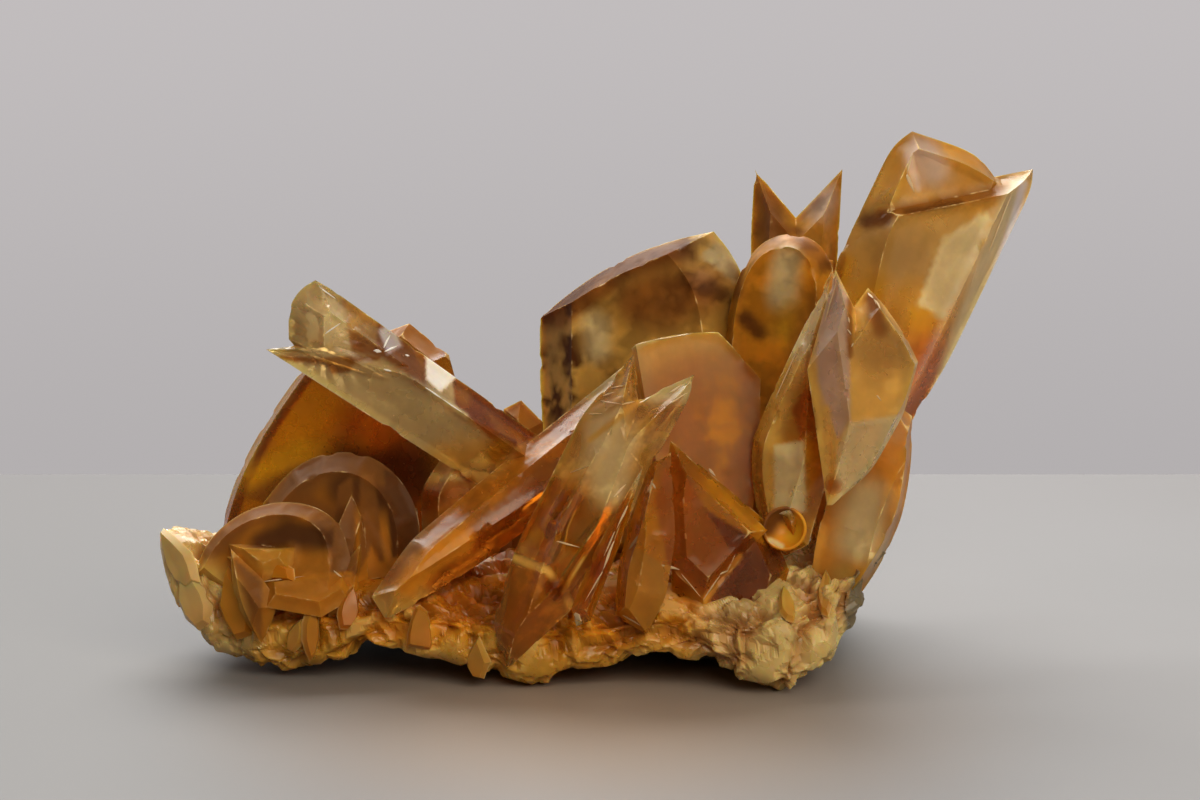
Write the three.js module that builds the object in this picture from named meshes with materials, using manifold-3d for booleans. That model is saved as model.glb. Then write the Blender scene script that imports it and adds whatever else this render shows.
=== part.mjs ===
// Golden selenite: a cabinet specimen of honey-coloured gypsum. Broad blades and swallowtail twins stand on
// one crust of small crystals, which grew on a skin of grey host rock.
// Units are millimetres and +Z is up. The viewer stands on the -Y side, and +X is to the viewer's right.
import * as THREE from "three";
import { ConvexGeometry } from "three/addons/geometries/ConvexGeometry.js";
import { mergeVertices } from "three/addons/utils/BufferGeometryUtils.js";
import Module from "manifold-3d";

const wasm = await Module();
wasm.setup();

// Driving dimensions
const CONTACT_GAP = 0.3; // between two pieces that touch
const ROCK_GAP = 0.9; // between the rock and the crust, wider because both are rough
const USUAL_LEAN = 42; // degrees that a rim face leans in: 0 is square to the broad faces, 90 flat with them
const SHORTEST_EDGE = 0.02;
const THINNEST_TRIANGLE = 0.004; // its height over its longest side
const SECTION_STEPS = 16; // points round a section of the crust or the rock
const TOP_SQUARENESS = 0.75; // 1 is a round section, 0 a square one
const BOTTOM_SQUARENESS = 0.5;
const FOOT_LEVEL = -0.5; // the feet are worn flat here
const EDGE_BLADE_THICK = 2.4;
const DRUSE_COUNT = 66;
const DRUSE_LENGTHS = [2.4, 5.6]; // most of the druse crystals are near the shorter
const DRUSE_SEED = 9;

// Finishes
const finish = (color, roughness) =>
  new THREE.MeshStandardMaterial({ color, roughness, metalness: 0 });
const PALE_HONEY = finish(0xd8b573, 0.25);
const HONEY = finish(0xc58a3c, 0.3);
const BROWN_HONEY = finish(0x8f5a26, 0.4);
const BURNT_ORANGE = finish(0xb5561e, 0.35);
const SUGARY_GOLD = finish(0xcfa257, 0.6);
const GREY_ROCK = finish(0x7d7b6c, 0.95);

// The crystals. Each outline is a front elevation, [x, z] in millimetres, counterclockwise. A third number is
// the lean in degrees of the rim face that starts at that corner, where it isn't the usual one.
// root is a point on the crystal's middle plane. turn is how far the broad face looks to the right, and tip
// how far it looks up, in degrees. A crystal with several lobes is a swallowtail twin, or blades grown together.
// Where two crystals touch, the one that comes first here keeps its whole shape.
const crystals = [
  {
    name: "clear_blade",
    material: PALE_HONEY,
    root: [-3, -9, 14],
    turn: -5,
    tip: 8,
    thick: 6,
    lobes: [
      {
        outline: [
          [-10, 2], [-3, 8.5], [2.5, 16.5], [5, 23, 30], [4.6, 29, 30], [3.5, 35.5, 40], [-2, 29, 50],
          [-9, 15, 50], [-11.5, 7],
        ],
      },
      {
        outline: [
          [-8, 6], [-4.5, 9.5, 45], [1.5, 18, 45], [6, 24.7, 45], [9.5, 31, 30], [10, 33.5, 50],
          [-1.5, 28.4], [-7, 18],
        ],
      },
    ],
  },
  {
    name: "right_twin",
    material: BROWN_HONEY,
    root: [26.5, -7, 26.5],
    turn: 10,
    tip: 5,
    thick: 6.5,
    lobes: [
      {
        outline: [
          [24.2, 19.5, 70], [24.8, 19.5, 25], [29, 23], [30, 30], [29, 36.5, 25], [25, 44.5, 20], [22, 34, 43],
        ],
      },
      {
        outline: [
          [24.2, 19.5, 70], [24.8, 19.5, 25], [29, 23, 25], [32.5, 29, 20], [34, 34.5, 20], [32.5, 37.5, 20],
          [30, 41, 20], [28.5, 42.5, 25], [24.5, 37.2, 20], [22.8, 32.2, 43],
        ],
      },
    ],
  },
  {
    name: "front_spear",
    material: HONEY,
    root: [0, -12, 14.5],
    turn: 10,
    tip: 5,
    thick: 3,
    lobes: [
      { outline: [[-2.5, 7.5], [-1, 8, 35], [2.5, 17], [4.5, 24], [3.5, 22.5], [-0.5, 15.5], [-3, 9.5]] },
    ],
  },
  {
    name: "orange_wedge",
    material: BURNT_ORANGE,
    root: [10.5, -8.5, 16],
    turn: 15,
    tip: 8,
    thick: 4,
    lobes: [
      { outline: [[11, 9.5], [14.5, 12.9], [18, 16.5], [7.5, 26.5], [6.5, 20.5], [7, 13.5]] },
      {
        root: [5, -9.5, 14],
        turn: -25,
        tip: 5,
        thick: 5,
        outline: [[5, 6], [7, 10], [8, 16.5], [7.5, 25.5], [5.5, 24.5], [3.5, 18.5], [2, 13.5], [1.5, 7.5]],
      },
      {
        root: [14, -5, 13],
        turn: 12,
        tip: 5,
        thick: 6,
        outline: [[9.5, 4], [15, 4], [19.5, 8], [20.5, 11.5], [18.5, 16.5], [10.5, 23.5], [7.5, 13], [8, 6]],
      },
    ],
  },
  {
    name: "crossed_twin",
    material: PALE_HONEY,
    root: [-8.5, 3.5, 23.2],
    turn: 15,
    tip: 0,
    thick: 8,
    lobes: [
      { outline: [[-7, 15.2], [-1.5, 20.85, 37], [-21.5, 36.3], [-27.5, 36.6, 12], [-35.8, 35.7, 58]] },
      {
        thick: 5.6,
        outline: [
          [-20, 27.7], [-15, 31.28, 37], [-29, 42.1, 30], [-30.5, 43, 50], [-32, 42.3, 40], [-33.4, 40.2, 50],
          [-33.4, 36.7, 30], [-31, 33.7],
        ],
      },
      {
        root: [-14, -3, 14.5],
        turn: 18,
        tip: 15,
        thick: 6,
        outline: [
          [-23, 7, 45], [-18.5, 9, 45], [-9, 14.5, 45], [-1.5, 19], [4, 25.5], [3, 32.5, 31], [-13, 20.8, 31],
          [-20.5, 15, 31], [-24.5, 9.5],
        ],
      },
      {
        root: [-16.5, 3.5, 17],
        turn: 5,
        tip: 10,
        thick: 4,
        outline: [[-19.5, 9], [-11, 12], [-10, 23.5], [-16.5, 24], [-19.8, 19]],
      },
    ],
  },
  {
    name: "hollow_blade",
    material: HONEY,
    root: [20, -3, 17],
    turn: -25,
    tip: 8,
    thick: 5,
    lobes: [
      {
        outline: [
          [20, 13], [22.5, 14.5], [25, 23.5], [26, 41], [25, 44], [24.5, 43], [21.2, 36], [18.5, 30],
          [16.5, 25], [16.5, 21], [17.5, 15],
        ],
      },
    ],
    hollow: { at: [20, 15.5], radius: 2.3, depth: 1.6 },
  },
  {
    name: "round_fan",
    material: HONEY,
    root: [11, 1.6, 18.3],
    turn: 5,
    tip: 12,
    thick: 5,
    lean: 14,
    lobes: [
      {
        outline: [
          [7.5, 10], [16, 10], [17, 15.5], [18, 25], [18, 31.2], [15.5, 34.7], [13, 36.7], [9.5, 37.2],
          [6, 36.5], [3, 35.2], [3.9, 30],
        ],
      },
    ],
  },
  {
    name: "left_rosette",
    material: HONEY,
    root: [-34.4, -1, 13.7],
    turn: -15,
    tip: 20,
    thick: 3.6,
    lobes: [
      {
        outline: [
          [-40.5, 7], [-27.5, 7], [-27, 13.5], [-28, 16.5], [-30.5, 18], [-34.5, 18.5], [-38.5, 17.5],
          [-41.5, 15.5], [-44, 13], [-44.5, 10],
        ],
      },
      {
        root: [-28.2, 4, 14.4],
        turn: -10,
        tip: 10,
        thick: 4.6,
        outline: [
          [-36.5, 9], [-29, 6.5], [-20, 8], [-19.5, 16], [-22, 20.5], [-25.5, 23], [-30.5, 23], [-34.5, 21],
          [-37.5, 17],
        ],
      },
      {
        root: [-27.3, 0, 14],
        turn: 50,
        tip: 5,
        thick: 3,
        outline: [[-29, 15], [-29, 8], [-25.5, 7.5], [-26, 16], [-27.2, 19]],
      },
      {
        root: [-36.3, -3.5, 12.4],
        turn: -5,
        tip: 40,
        thick: 3,
        outline: [[-39.5, 12], [-36.5, 10.5], [-33.5, 11.5], [-32.5, 14], [-40.5, 14]],
      },
      {
        root: [-37.3, -5, 8.6],
        turn: -20,
        tip: 5,
        thick: 3,
        outline: [[-40, 9], [-38.5, 5.5], [-36.5, 3.5], [-34.8, 8], [-36, 10.5], [-40, 13.8]],
      },
      {
        root: [-31.4, -4.5, 9.5],
        turn: 5,
        tip: 45,
        thick: 2.5,
        outline: [[-36, 8], [-30, 7], [-27, 8.5], [-26.5, 11.2], [-32, 10.9], [-36.5, 10.4]],
      },
      {
        root: [-27.3, -3.5, 10.5],
        turn: 20,
        tip: 5,
        thick: 1.6,
        outline: [[-29.5, 10], [-29.5, 6.5], [-27, 6.5], [-25.7, 11], [-26, 14.2]],
      },
    ],
  },
  {
    name: "left_slab",
    material: BROWN_HONEY,
    root: [-29, 11.5, 16.8],
    turn: -10,
    tip: 10,
    thick: 6,
    lean: 24,
    lobes: [
      {
        outline: [
          [-39.5, 7], [-14.5, 7], [-13.5, 20.5], [-17, 32.8], [-21.5, 36.2], [-33, 31.8], [-37.5, 25.8],
          [-42, 18], [-43.5, 11],
        ],
      },
    ],
  },
  {
    name: "great_blade",
    material: HONEY,
    root: [33, 16, 33],
    turn: 20,
    tip: 10,
    thick: 8,
    lobes: [
      {
        outline: [
          [23.4, 7.5], [30, 16.6], [36, 25.4], [39.8, 31, 45], [50.4, 51, 45], [50.2, 52.6, 29],
          [31, 49.6, 29], [27, 44], [25.5, 38],
        ],
      },
      {
        outline: [
          [24, 15], [30, 17], [39, 31], [46.3, 50.5, 30], [44.5, 53.6], [42.5, 55], [38.6, 56.3],
          [35.7, 57.3, 35], [33.4, 56, 35], [28.8, 47], [26, 40],
        ],
        thick: 5,
      },
    ],
  },
  {
    name: "mottled_blade",
    material: BROWN_HONEY,
    root: [20.5, 12, 30],
    turn: -15,
    tip: 10,
    thick: 6.5,
    lean: 24,
    lobes: [
      {
        outline: [
          [15.5, 8], [21.9, 8], [25.2, 30], [26.5, 39], [27, 43.5], [26, 45.5], [24, 47], [21.5, 47.5],
          [18.5, 46.5], [16.5, 44.5], [14.5, 39], [14, 34], [14.2, 28],
        ],
      },
    ],
  },
  {
    name: "back_lens",
    material: BROWN_HONEY,
    root: [4.5, 19, 26.5],
    turn: -15,
    tip: 8,
    thick: 8,
    lobes: [
      {
        outline: [
          [-4, 7], [14, 7], [17, 38, 50], [16, 44, 50], [13, 46, 25], [10.5, 45.7, 25], [4.5, 43.7, 25],
          [0, 41.2, 25], [-4.5, 38, 25], [-7, 35.5, 51], [-7, 23.5],
        ],
      },
    ],
  },
  {
    name: "back_twin",
    material: BROWN_HONEY,
    root: [22, 25, 37.5],
    turn: 0,
    tip: 8,
    thick: 4.5,
    lobes: [
      { outline: [[18.5, 9], [25.5, 9], [27, 42], [18, 52.5], [17.5, 44.5]] },
      { outline: [[18.5, 9], [25.5, 9], [27.8, 44.5], [28.2, 52.5], [18, 42]] },
    ],
  },
  {
    name: "orange_flank",
    material: BURNT_ORANGE,
    root: [29, 1, 16],
    turn: 30,
    tip: 4,
    thick: 9,
    lobes: [
      {
        outline: [
          [24, 5], [27.5, 6.5], [31, 11], [33.5, 16], [34.5, 22], [34.5, 27], [32, 29], [27.5, 25], [24, 17],
          [22.5, 9],
        ],
      },
    ],
  },
  {
    name: "rear_bump",
    material: HONEY,
    root: [-9, 16, 23.5],
    turn: 0,
    tip: 5,
    thick: 4,
    lobes: [{ outline: [[-12, 8], [-6, 8], [-6.5, 24.5], [-9, 27], [-11, 26]] }],
  },
  {
    name: "rear_left_fan",
    material: HONEY,
    root: [-26, 24, 11],
    turn: -15,
    tip: 42,
    thick: 5,
    lobes: [
      { outline: [[-31, 5], [-21, 5], [-19.5, 14], [-21, 22], [-25, 25.5], [-29, 25], [-33, 20], [-34, 13]] },
    ],
  },
  {
    name: "rear_middle_blade",
    material: BROWN_HONEY,
    root: [0, 28, 12],
    turn: 8,
    tip: 40,
    thick: 5,
    lobes: [{ outline: [[-5, 5], [4, 5], [6, 14], [5, 26], [1, 29], [-4, 25], [-6, 14]] }],
  },
  {
    name: "rear_right_twin",
    material: HONEY,
    root: [13.5, 31, 14],
    turn: -12,
    tip: 34,
    thick: 5,
    lobes: [
      { outline: [[8.5, 6], [18.5, 7], [19.5, 24], [9.5, 36], [7.5, 20]] },
      { outline: [[8.5, 6], [18.5, 7], [21.5, 20], [20, 34.5], [10, 25], [8, 14]] },
    ],
  },
  {
    name: "rear_corner_blade",
    material: BURNT_ORANGE,
    root: [30.5, 27, 18],
    turn: 38,
    tip: 28,
    thick: 5,
    lobes: [{ outline: [[27, 9], [31, 11], [35.5, 22], [35.5, 34], [31, 36], [27, 28], [25, 16]] }],
  },
];

// Small crystals that stand out along the front edge, one with the crust: their middle, width and height, the
// slant of their top to the right, and the turn of their face, in millimetres and degrees.
const frontEdgeBlades = [
  { at: [-46.3, 1, 11], wide: 5, tall: 8, slant: -10, turn: -30 },
  { at: [-41.5, -2, 8], wide: 4, tall: 8, slant: -12, turn: -25 },
  { at: [-31.1, -7.5, 5.6], wide: 2.4, tall: 10.5, slant: 0, turn: 15 },
  { at: [-27.7, -6.8, 7], wide: 2.8, tall: 5.4, slant: 5, turn: -15 },
  { at: [-24.9, -7, 8.2], wide: 1.5, tall: 7.8, slant: 0, turn: 30 },
  { at: [-19.2, -8.8, 7.3], wide: 2.8, tall: 6.8, slant: 12, turn: 20 },
  { at: [-15.2, -9.4, 4.6], wide: 2.8, tall: 6.5, slant: 0, turn: 15 },
  { at: [-12.8, -10.5, 4.3], wide: 4.6, tall: 10.4, slant: 5, turn: -10 },
  { at: [-7.7, -10.5, 2.6], wide: 3.8, tall: 6, slant: -8, turn: 10 },
  { at: [-3.4, -10.5, 4], wide: 5.6, tall: 8, slant: 25, turn: 5 },
  { at: [1, -9.5, 9.8], wide: 2.6, tall: 13, slant: 15, turn: 20 },
  { at: [8, -10.4, 6.6], wide: 3.8, tall: 5.8, slant: -10, turn: 10 },
  { at: [16.5, -10.8, 7.4], wide: 5.8, tall: 7, slant: 20, turn: -10 },
  { at: [22.8, -10, 7], wide: 4.4, tall: 6.6, slant: 8, turn: 25 },
  { at: [22.7, -7.5, 11.6], wide: 4.2, tall: 9, slant: 0, turn: 20 },
];

// The crust, as sections from left to right: x, the front and the back edge, the lowest and the highest point.
const crustSections = [
  [-49, 3, 8, 11, 14.5],
  [-46.5, 0, 13, 5, 14],
  [-42, -3, 19, 0.6, 12.5],
  [-36, -5, 24, -1.4, 11],
  [-30, -6, 27, -0.2, 10.5],
  [-24, -7, 29, 2.2, 10.5],
  [-18, -8, 30, 1, 10.5],
  [-13, -9, 31, -0.4, 10.5],
  [-7, -10, 32, -1.7, 10.5],
  [0, -10, 33, 0.4, 10.5],
  [5, -10.5, 33, 2, 11],
  [11, -11, 33, 1.4, 11],
  [15, -12.5, 33, -0.6, 11.5],
  [20, -13, 33, -2.2, 12],
  [24, -11, 32, 0, 12.5],
  [27, -7, 31, 4, 14],
  [30.5, -2, 28, 9.5, 17],
  [33, 4, 24, 15, 19.5],
];

// The skin of host rock under the crust, in the same way
const rockSections = [
  [-38, 8, 20, 3.5, 6.5],
  [-32, 5, 25, 1, 7],
  [-22, 3, 29, 0.6, 6.5],
  [-12, 1, 34.5, -1.6, 6.5],
  [0, 1, 35, 0.8, 6.5],
  [14, 0, 35.5, -1.6, 7],
  [24, -1, 34, 1.2, 8.5],
  [28.5, 1, 31, 5.5, 12],
  [32.5, 6, 26, 11.5, 15],
];

// Two masses with a rough skin. backLift is how far the underside rises towards the back.
const crustMass = { sections: crustSections, backLift: 4, roughness: 0.5, step: 2.6, seed: 11 };
const rockMass = { sections: rockSections, backLift: 0, roughness: 0.5, step: 4, seed: 23 };

// A repeatable stream of numbers from 0 to 1.
function numberStream(seed) {
  let state = seed;
  return () => {
    state = (state + 0x6d2b79f5) | 0;
    let mixed = Math.imul(state ^ (state >>> 15), 1 | state);
    mixed = (mixed + Math.imul(mixed ^ (mixed >>> 7), 61 | mixed)) ^ mixed;
    return ((mixed ^ (mixed >>> 14)) >>> 0) / 4294967296;
  };
}

// Solids and meshes

function solidFrom(geometry) {
  const bare = geometry.clone();
  bare.deleteAttribute("normal");
  bare.deleteAttribute("uv");
  const merged = mergeVertices(bare, 1e-4);
  return new wasm.Manifold(
    new wasm.Mesh({
      numProp: 3,
      vertProperties: merged.attributes.position.array,
      triVerts: new Uint32Array(merged.index.array),
    }),
  );
}

function geometryFrom(solid) {
  const mesh = solid.getMesh();
  const corners = new Float32Array(mesh.numVert * 3);
  for (let i = 0; i < mesh.numVert; i++) {
    corners.set(mesh.vertProperties.subarray(i * mesh.numProp, i * mesh.numProp + 3), i * 3);
  }
  const geometry = new THREE.BufferGeometry();
  geometry.setAttribute("position", new THREE.BufferAttribute(corners, 3));
  geometry.setIndex(new THREE.BufferAttribute(mesh.triVerts, 1));
  return withoutShortEdges(geometry);
}

// A cut can leave very short edges. Both ends of each become one corner, and the triangles beside it close up.
function withoutShortEdges(geometry) {
  const corner = (i) => new THREE.Vector3().fromBufferAttribute(geometry.attributes.position, i);
  const triangles = [];
  for (let i = 0; i < geometry.index.count; i += 3) {
    triangles.push([0, 1, 2].map((j) => geometry.index.getX(i + j)));
  }
  const standIn = new Map();
  const settled = (i) => (standIn.has(i) ? settled(standIn.get(i)) : i);
  for (const triangle of triangles) {
    for (const side of [0, 1, 2]) {
      const from = settled(triangle[side]);
      const to = settled(triangle[(side + 1) % 3]);
      if (from !== to && corner(from).distanceTo(corner(to)) < SHORTEST_EDGE) standIn.set(to, from);
    }
  }
  const closedUp = triangles.map((triangle) => triangle.map(settled));
  const kept = closedUp.filter((triangle) => new Set(triangle).size === 3);
  geometry.setIndex(withoutThinTriangles(kept, corner).flat());
  return geometry;
}

// A triangle as thin as a line has a corner on its own longest side. It and its neighbour there are parted the
// other way, from that corner.
function withoutThinTriangles(triangles, corner) {
  for (const triangle of triangles) {
    const ends = triangle.map(corner);
    const lengths = ends.map((end, i) => end.distanceTo(ends[(i + 1) % 3]));
    const longest = lengths.indexOf(Math.max(...lengths));
    const area = new THREE.Triangle(...ends).getArea();
    if ((2 * area) / lengths[longest] > THINNEST_TRIANGLE) continue;
    const [a, b, c] = [0, 1, 2].map((i) => triangle[(longest + i) % 3]);
    const neighbour = triangles.find((other) => other !== triangle && other.includes(a) && other.includes(b));
    const d = neighbour.find((end) => end !== a && end !== b);
    if (triangles.some((other) => other.includes(c) && other.includes(d))) continue;
    triangle.splice(0, 3, a, d, c);
    neighbour.splice(0, 3, d, b, c);
  }
  return triangles;
}

// The biggest single body of a solid: a cut can leave crumbs beside it.
function biggestBody(solid) {
  return solid.decompose().reduce((best, body) => (body.volume() > best.volume() ? body : best));
}

function boxesMeet(a, b) {
  const boxA = a.boundingBox();
  const boxB = b.boundingBox();
  return [0, 1, 2].every((i) => boxA.min[i] < boxB.max[i] && boxB.min[i] < boxA.max[i]);
}

function cutAway(solid, cutters) {
  const near = cutters.filter((cutter) => boxesMeet(solid, cutter));
  return near.reduce((left, cutter) => left.subtract(cutter), solid);
}

// Crystals

// Where a crystal stands and which way its broad face looks.
function placeOf({ root, turn = 0, tip = 0 }) {
  const place = new THREE.Object3D();
  place.position.set(...root);
  place.rotation.set(-THREE.MathUtils.degToRad(tip), 0, THREE.MathUtils.degToRad(turn), "ZXY");
  place.updateMatrixWorld();
  return place;
}

// The point of a crystal's middle plane that stands behind [x, z] of the front elevation, in its own axes.
function ontoPlane(place, [x, z]) {
  const look = new THREE.Vector3(0, -1, 0).applyEuler(place.rotation);
  const across = look.x * (x - place.position.x) + look.z * (z - place.position.z);
  return place.worldToLocal(new THREE.Vector3(x, place.position.y - across / look.y, z));
}

// The flat faces of one blade: two broad ones, and a pair of leaning rim faces for each side of its outline.
function facesOf({ outline, thick, lean = USUAL_LEAN }, place, grow) {
  const corners = outline.map((corner) => ontoPlane(place, corner));
  const faces = [-1, 1].map((side) => ({
    normal: new THREE.Vector3(0, side, 0),
    distance: thick / 2 + grow,
  }));
  corners.forEach((corner, i) => {
    const next = corners[(i + 1) % corners.length];
    const out = new THREE.Vector3(next.z - corner.z, 0, corner.x - next.x).normalize();
    const angle = THREE.MathUtils.degToRad(outline[i][2] ?? lean);
    for (const side of [-1, 1]) {
      const normal = out.clone().multiplyScalar(Math.cos(angle)).setY(side * Math.sin(angle));
      faces.push({ normal, distance: normal.dot(corner) + grow });
    }
  });
  return faces;
}

// The corners of the space inside flat faces: the points where three faces meet and no other cuts them off.
function cornersInside(faces) {
  const corners = [];
  const system = new THREE.Matrix3();
  faces.forEach((a, i) =>
    faces.slice(i + 1).forEach((b, j) =>
      faces.slice(i + j + 2).forEach((c) => {
        system.set(
          a.normal.x, a.normal.y, a.normal.z,
          b.normal.x, b.normal.y, b.normal.z,
          c.normal.x, c.normal.y, c.normal.z,
        );
        if (Math.abs(system.determinant()) < 1e-4) return;
        const point = new THREE.Vector3(a.distance, b.distance, c.distance).applyMatrix3(system.invert());
        const inside = faces.every((face) => face.normal.dot(point) < face.distance + 1e-5);
        if (inside && corners.every((known) => known.distanceTo(point) > 1e-3)) corners.push(point);
      }),
    ),
  );
  return corners;
}

function bladeSolid(blade, grow = 0) {
  const place = placeOf(blade);
  const geometry = new ConvexGeometry(cornersInside(facesOf(blade, place, grow)));
  return solidFrom(geometry.applyMatrix4(place.matrixWorld));
}

// All the lobes of one crystal as one solid. Where grow is above 0, every face stands that much further out.
function crystalSolid(crystal, grow = 0) {
  const lobes = crystal.lobes.map((lobe) => bladeSolid({ ...crystal, ...lobe }, grow));
  return lobes.reduce((joined, lobe) => joined.add(lobe));
}

// A small blade of the front edge: a six-cornered outline, pointed below and above.
function edgeBladeSolid({ at, wide, tall, slant, turn }) {
  const corners = [[0, -0.5], [0.45, -0.26], [0.5, 0.2], [0.08, 0.5], [-0.4, 0.32], [-0.5, -0.2]];
  const middle = new THREE.Vector2(at[0], at[2]);
  const outline = corners.map(([across, up]) =>
    new THREE.Vector2(across * wide, up * tall)
      .rotateAround(new THREE.Vector2(), THREE.MathUtils.degToRad(-slant))
      .add(middle)
      .toArray(),
  );
  return bladeSolid({ root: at, turn, outline, thick: EDGE_BLADE_THICK });
}

// A round, shallow hollow in a crystal's front face.
function hollowCutter(crystal) {
  const { at, radius, depth } = crystal.hollow;
  const place = placeOf(crystal);
  const middle = ontoPlane(place, at);
  const ball = (radius * radius + depth * depth) / (2 * depth);
  middle.y = -crystal.thick / 2 - ball + depth;
  const geometry = new THREE.IcosahedronGeometry(ball, 3).translate(...middle);
  return solidFrom(geometry.applyMatrix4(place.matrixWorld));
}

// The crust and the rock

// The row of a table of sections at x, eased between the rows on either side.
function sectionAt(sections, x) {
  const next = Math.max(1, sections.findIndex((row) => row[0] >= x));
  const [before, after] = [sections[next - 1], sections[next]];
  const share = THREE.MathUtils.smoothstep(x, before[0], after[0]);
  return before.map((value, i) => THREE.MathUtils.lerp(value, after[i], share));
}

// A point on the skin of a mass at x and at an angle round its section: 0 is at the back, a half turn in front.
function skinPoint({ sections, backLift }, x, angle, grow = 0) {
  const [, front, back, low, high] = sectionAt(sections, x);
  const power = Math.sin(angle) < 0 ? BOTTOM_SQUARENESS : TOP_SQUARENESS;
  const squared = (value) => Math.sign(value) * Math.abs(value) ** power;
  const depthwise = squared(Math.cos(angle));
  const upward = squared(Math.sin(angle));
  const lift = backLift * Math.max(-upward, 0) * (0.5 + 0.5 * depthwise);
  return new THREE.Vector3(
    x,
    (front + back) / 2 + ((back - front) / 2 + grow) * depthwise,
    (low + high) / 2 + ((high - low) / 2 + grow) * upward + lift,
  );
}

// A mass swept along its sections, with a rough skin and closed ends. Where grow is above 0, it is longer too.
function sweptMass(mass, grow = 0) {
  const { sections, roughness, step, seed } = mass;
  const first = sections[0][0];
  const last = sections[sections.length - 1][0];
  const steps = Math.round((last - first) / step);
  const random = numberStream(seed);
  const wander = () => (random() - 0.5) * 2 * roughness;
  const rings = Array.from({ length: steps + 1 }, (_, i) => {
    const x = THREE.MathUtils.lerp(first, last, i / steps);
    return Array.from({ length: SECTION_STEPS }, (_, j) => {
      const rough = new THREE.Vector3(wander(), wander(), wander());
      return skinPoint(mass, x, (j / SECTION_STEPS) * 2 * Math.PI, grow).add(rough);
    });
  });
  if (grow > 0) {
    const shifted = (ring, by) => ring.map((corner) => corner.clone().add(new THREE.Vector3(by, 0, 0)));
    rings.unshift(shifted(rings[0], -grow));
    rings.push(shifted(rings[rings.length - 1], grow));
  }
  const middleOf = (ring) =>
    ring.reduce((sum, corner) => sum.add(corner), new THREE.Vector3()).divideScalar(SECTION_STEPS);
  const corners = [...rings.flat(), middleOf(rings[0]), middleOf(rings[rings.length - 1])];
  const [firstMiddle, lastMiddle] = [corners.length - 2, corners.length - 1];
  const lastRing = (rings.length - 1) * SECTION_STEPS;
  const triangles = [];
  for (let j = 0; j < SECTION_STEPS; j++) {
    const k = (j + 1) % SECTION_STEPS;
    for (let ring = 0; ring < lastRing; ring += SECTION_STEPS) {
      const next = ring + SECTION_STEPS;
      triangles.push(ring + j, ring + k, next + k, ring + j, next + k, next + j);
    }
    triangles.push(firstMiddle, k, j, lastMiddle, lastRing + j, lastRing + k);
  }
  const geometry = new THREE.BufferGeometry().setFromPoints(corners);
  geometry.setIndex(triangles);
  return solidFrom(geometry);
}

// Small spindle crystals that stand on the crust's skin, thickest along the front edge.
function druseCrystals() {
  const random = numberStream(DRUSE_SEED);
  const first = crustSections[0][0] + 1.5;
  const last = crustSections[crustSections.length - 1][0] - 1;
  return Array.from({ length: DRUSE_COUNT }, () => {
    const x = THREE.MathUtils.lerp(first, last, random());
    const angle = Math.PI * (0.15 + 1.05 * random() ** 0.7);
    const foot = skinPoint(crustMass, x, angle);
    const middle = skinPoint(crustMass, x, 0).lerp(skinPoint(crustMass, x, Math.PI), 0.5);
    const away = foot.clone().sub(middle).setX(0).normalize();
    away.add(new THREE.Vector3(random() - 0.5, random() - 0.5, random() * 0.6)).normalize();
    const length = THREE.MathUtils.lerp(...DRUSE_LENGTHS, random() ** 2);
    const width = length * (0.35 + 0.25 * random());
    const spindle = new THREE.OctahedronGeometry(0.5, 0).scale(width, width * 0.45, length);
    spindle.rotateZ(random() * Math.PI);
    spindle.applyQuaternion(new THREE.Quaternion().setFromUnitVectors(new THREE.Vector3(0, 0, 1), away));
    spindle.translate(...foot.addScaledVector(away, length * 0.12));
    return solidFrom(spindle);
  });
}

// Building

const solids = new Map();
const grown = [];
const belowFeet = solidFrom(new THREE.BoxGeometry(200, 200, 20).translate(0, 0, FOOT_LEVEL - 10));

for (const crystal of crystals) {
  let solid = cutAway(crystalSolid(crystal), [...grown, belowFeet]);
  if (crystal.hollow) solid = solid.subtract(hollowCutter(crystal));
  solids.set(crystal.name, biggestBody(solid));
  grown.push(crystalSolid(crystal, CONTACT_GAP));
}

const rock = sweptMass(rockMass);
solids.set("host_rock", biggestBody(cutAway(rock, [...grown, belowFeet])));
grown.push(sweptMass(rockMass, ROCK_GAP));

const smallCrystals = [...frontEdgeBlades.map(edgeBladeSolid), ...druseCrystals()];
const crust = smallCrystals.reduce((joined, small) => joined.add(small), sweptMass(crustMass));
solids.set("druse_crust", biggestBody(cutAway(crust, [...grown, belowFeet])));

// One mesh of the specimen. A crystal's mesh is placed and turned as the crystal is, in its own axes.
function meshOf(name, material, place = new THREE.Object3D()) {
  const geometry = geometryFrom(solids.get(name));
  geometry.applyMatrix4(place.matrixWorld.clone().invert());
  geometry.computeVertexNormals();
  const mesh = new THREE.Mesh(geometry, material);
  mesh.name = name;
  mesh.position.copy(place.position);
  mesh.rotation.copy(place.rotation);
  return mesh;
}

const base = new THREE.Group().add(meshOf("host_rock", GREY_ROCK), meshOf("druse_crust", SUGARY_GOLD));
const blades = new THREE.Group();
for (const crystal of crystals) {
  blades.add(meshOf(crystal.name, crystal.material, placeOf(crystal)));
}
const specimen = new THREE.Group().add(base, blades);

// The origin is under the middle of the whole specimen, where it stands.
const box = new THREE.Box3().setFromObject(specimen, true);
const middle = box.getCenter(new THREE.Vector3());
specimen.position.set(-middle.x, -middle.y, -box.min.z);

export default new THREE.Group().add(specimen);
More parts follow.
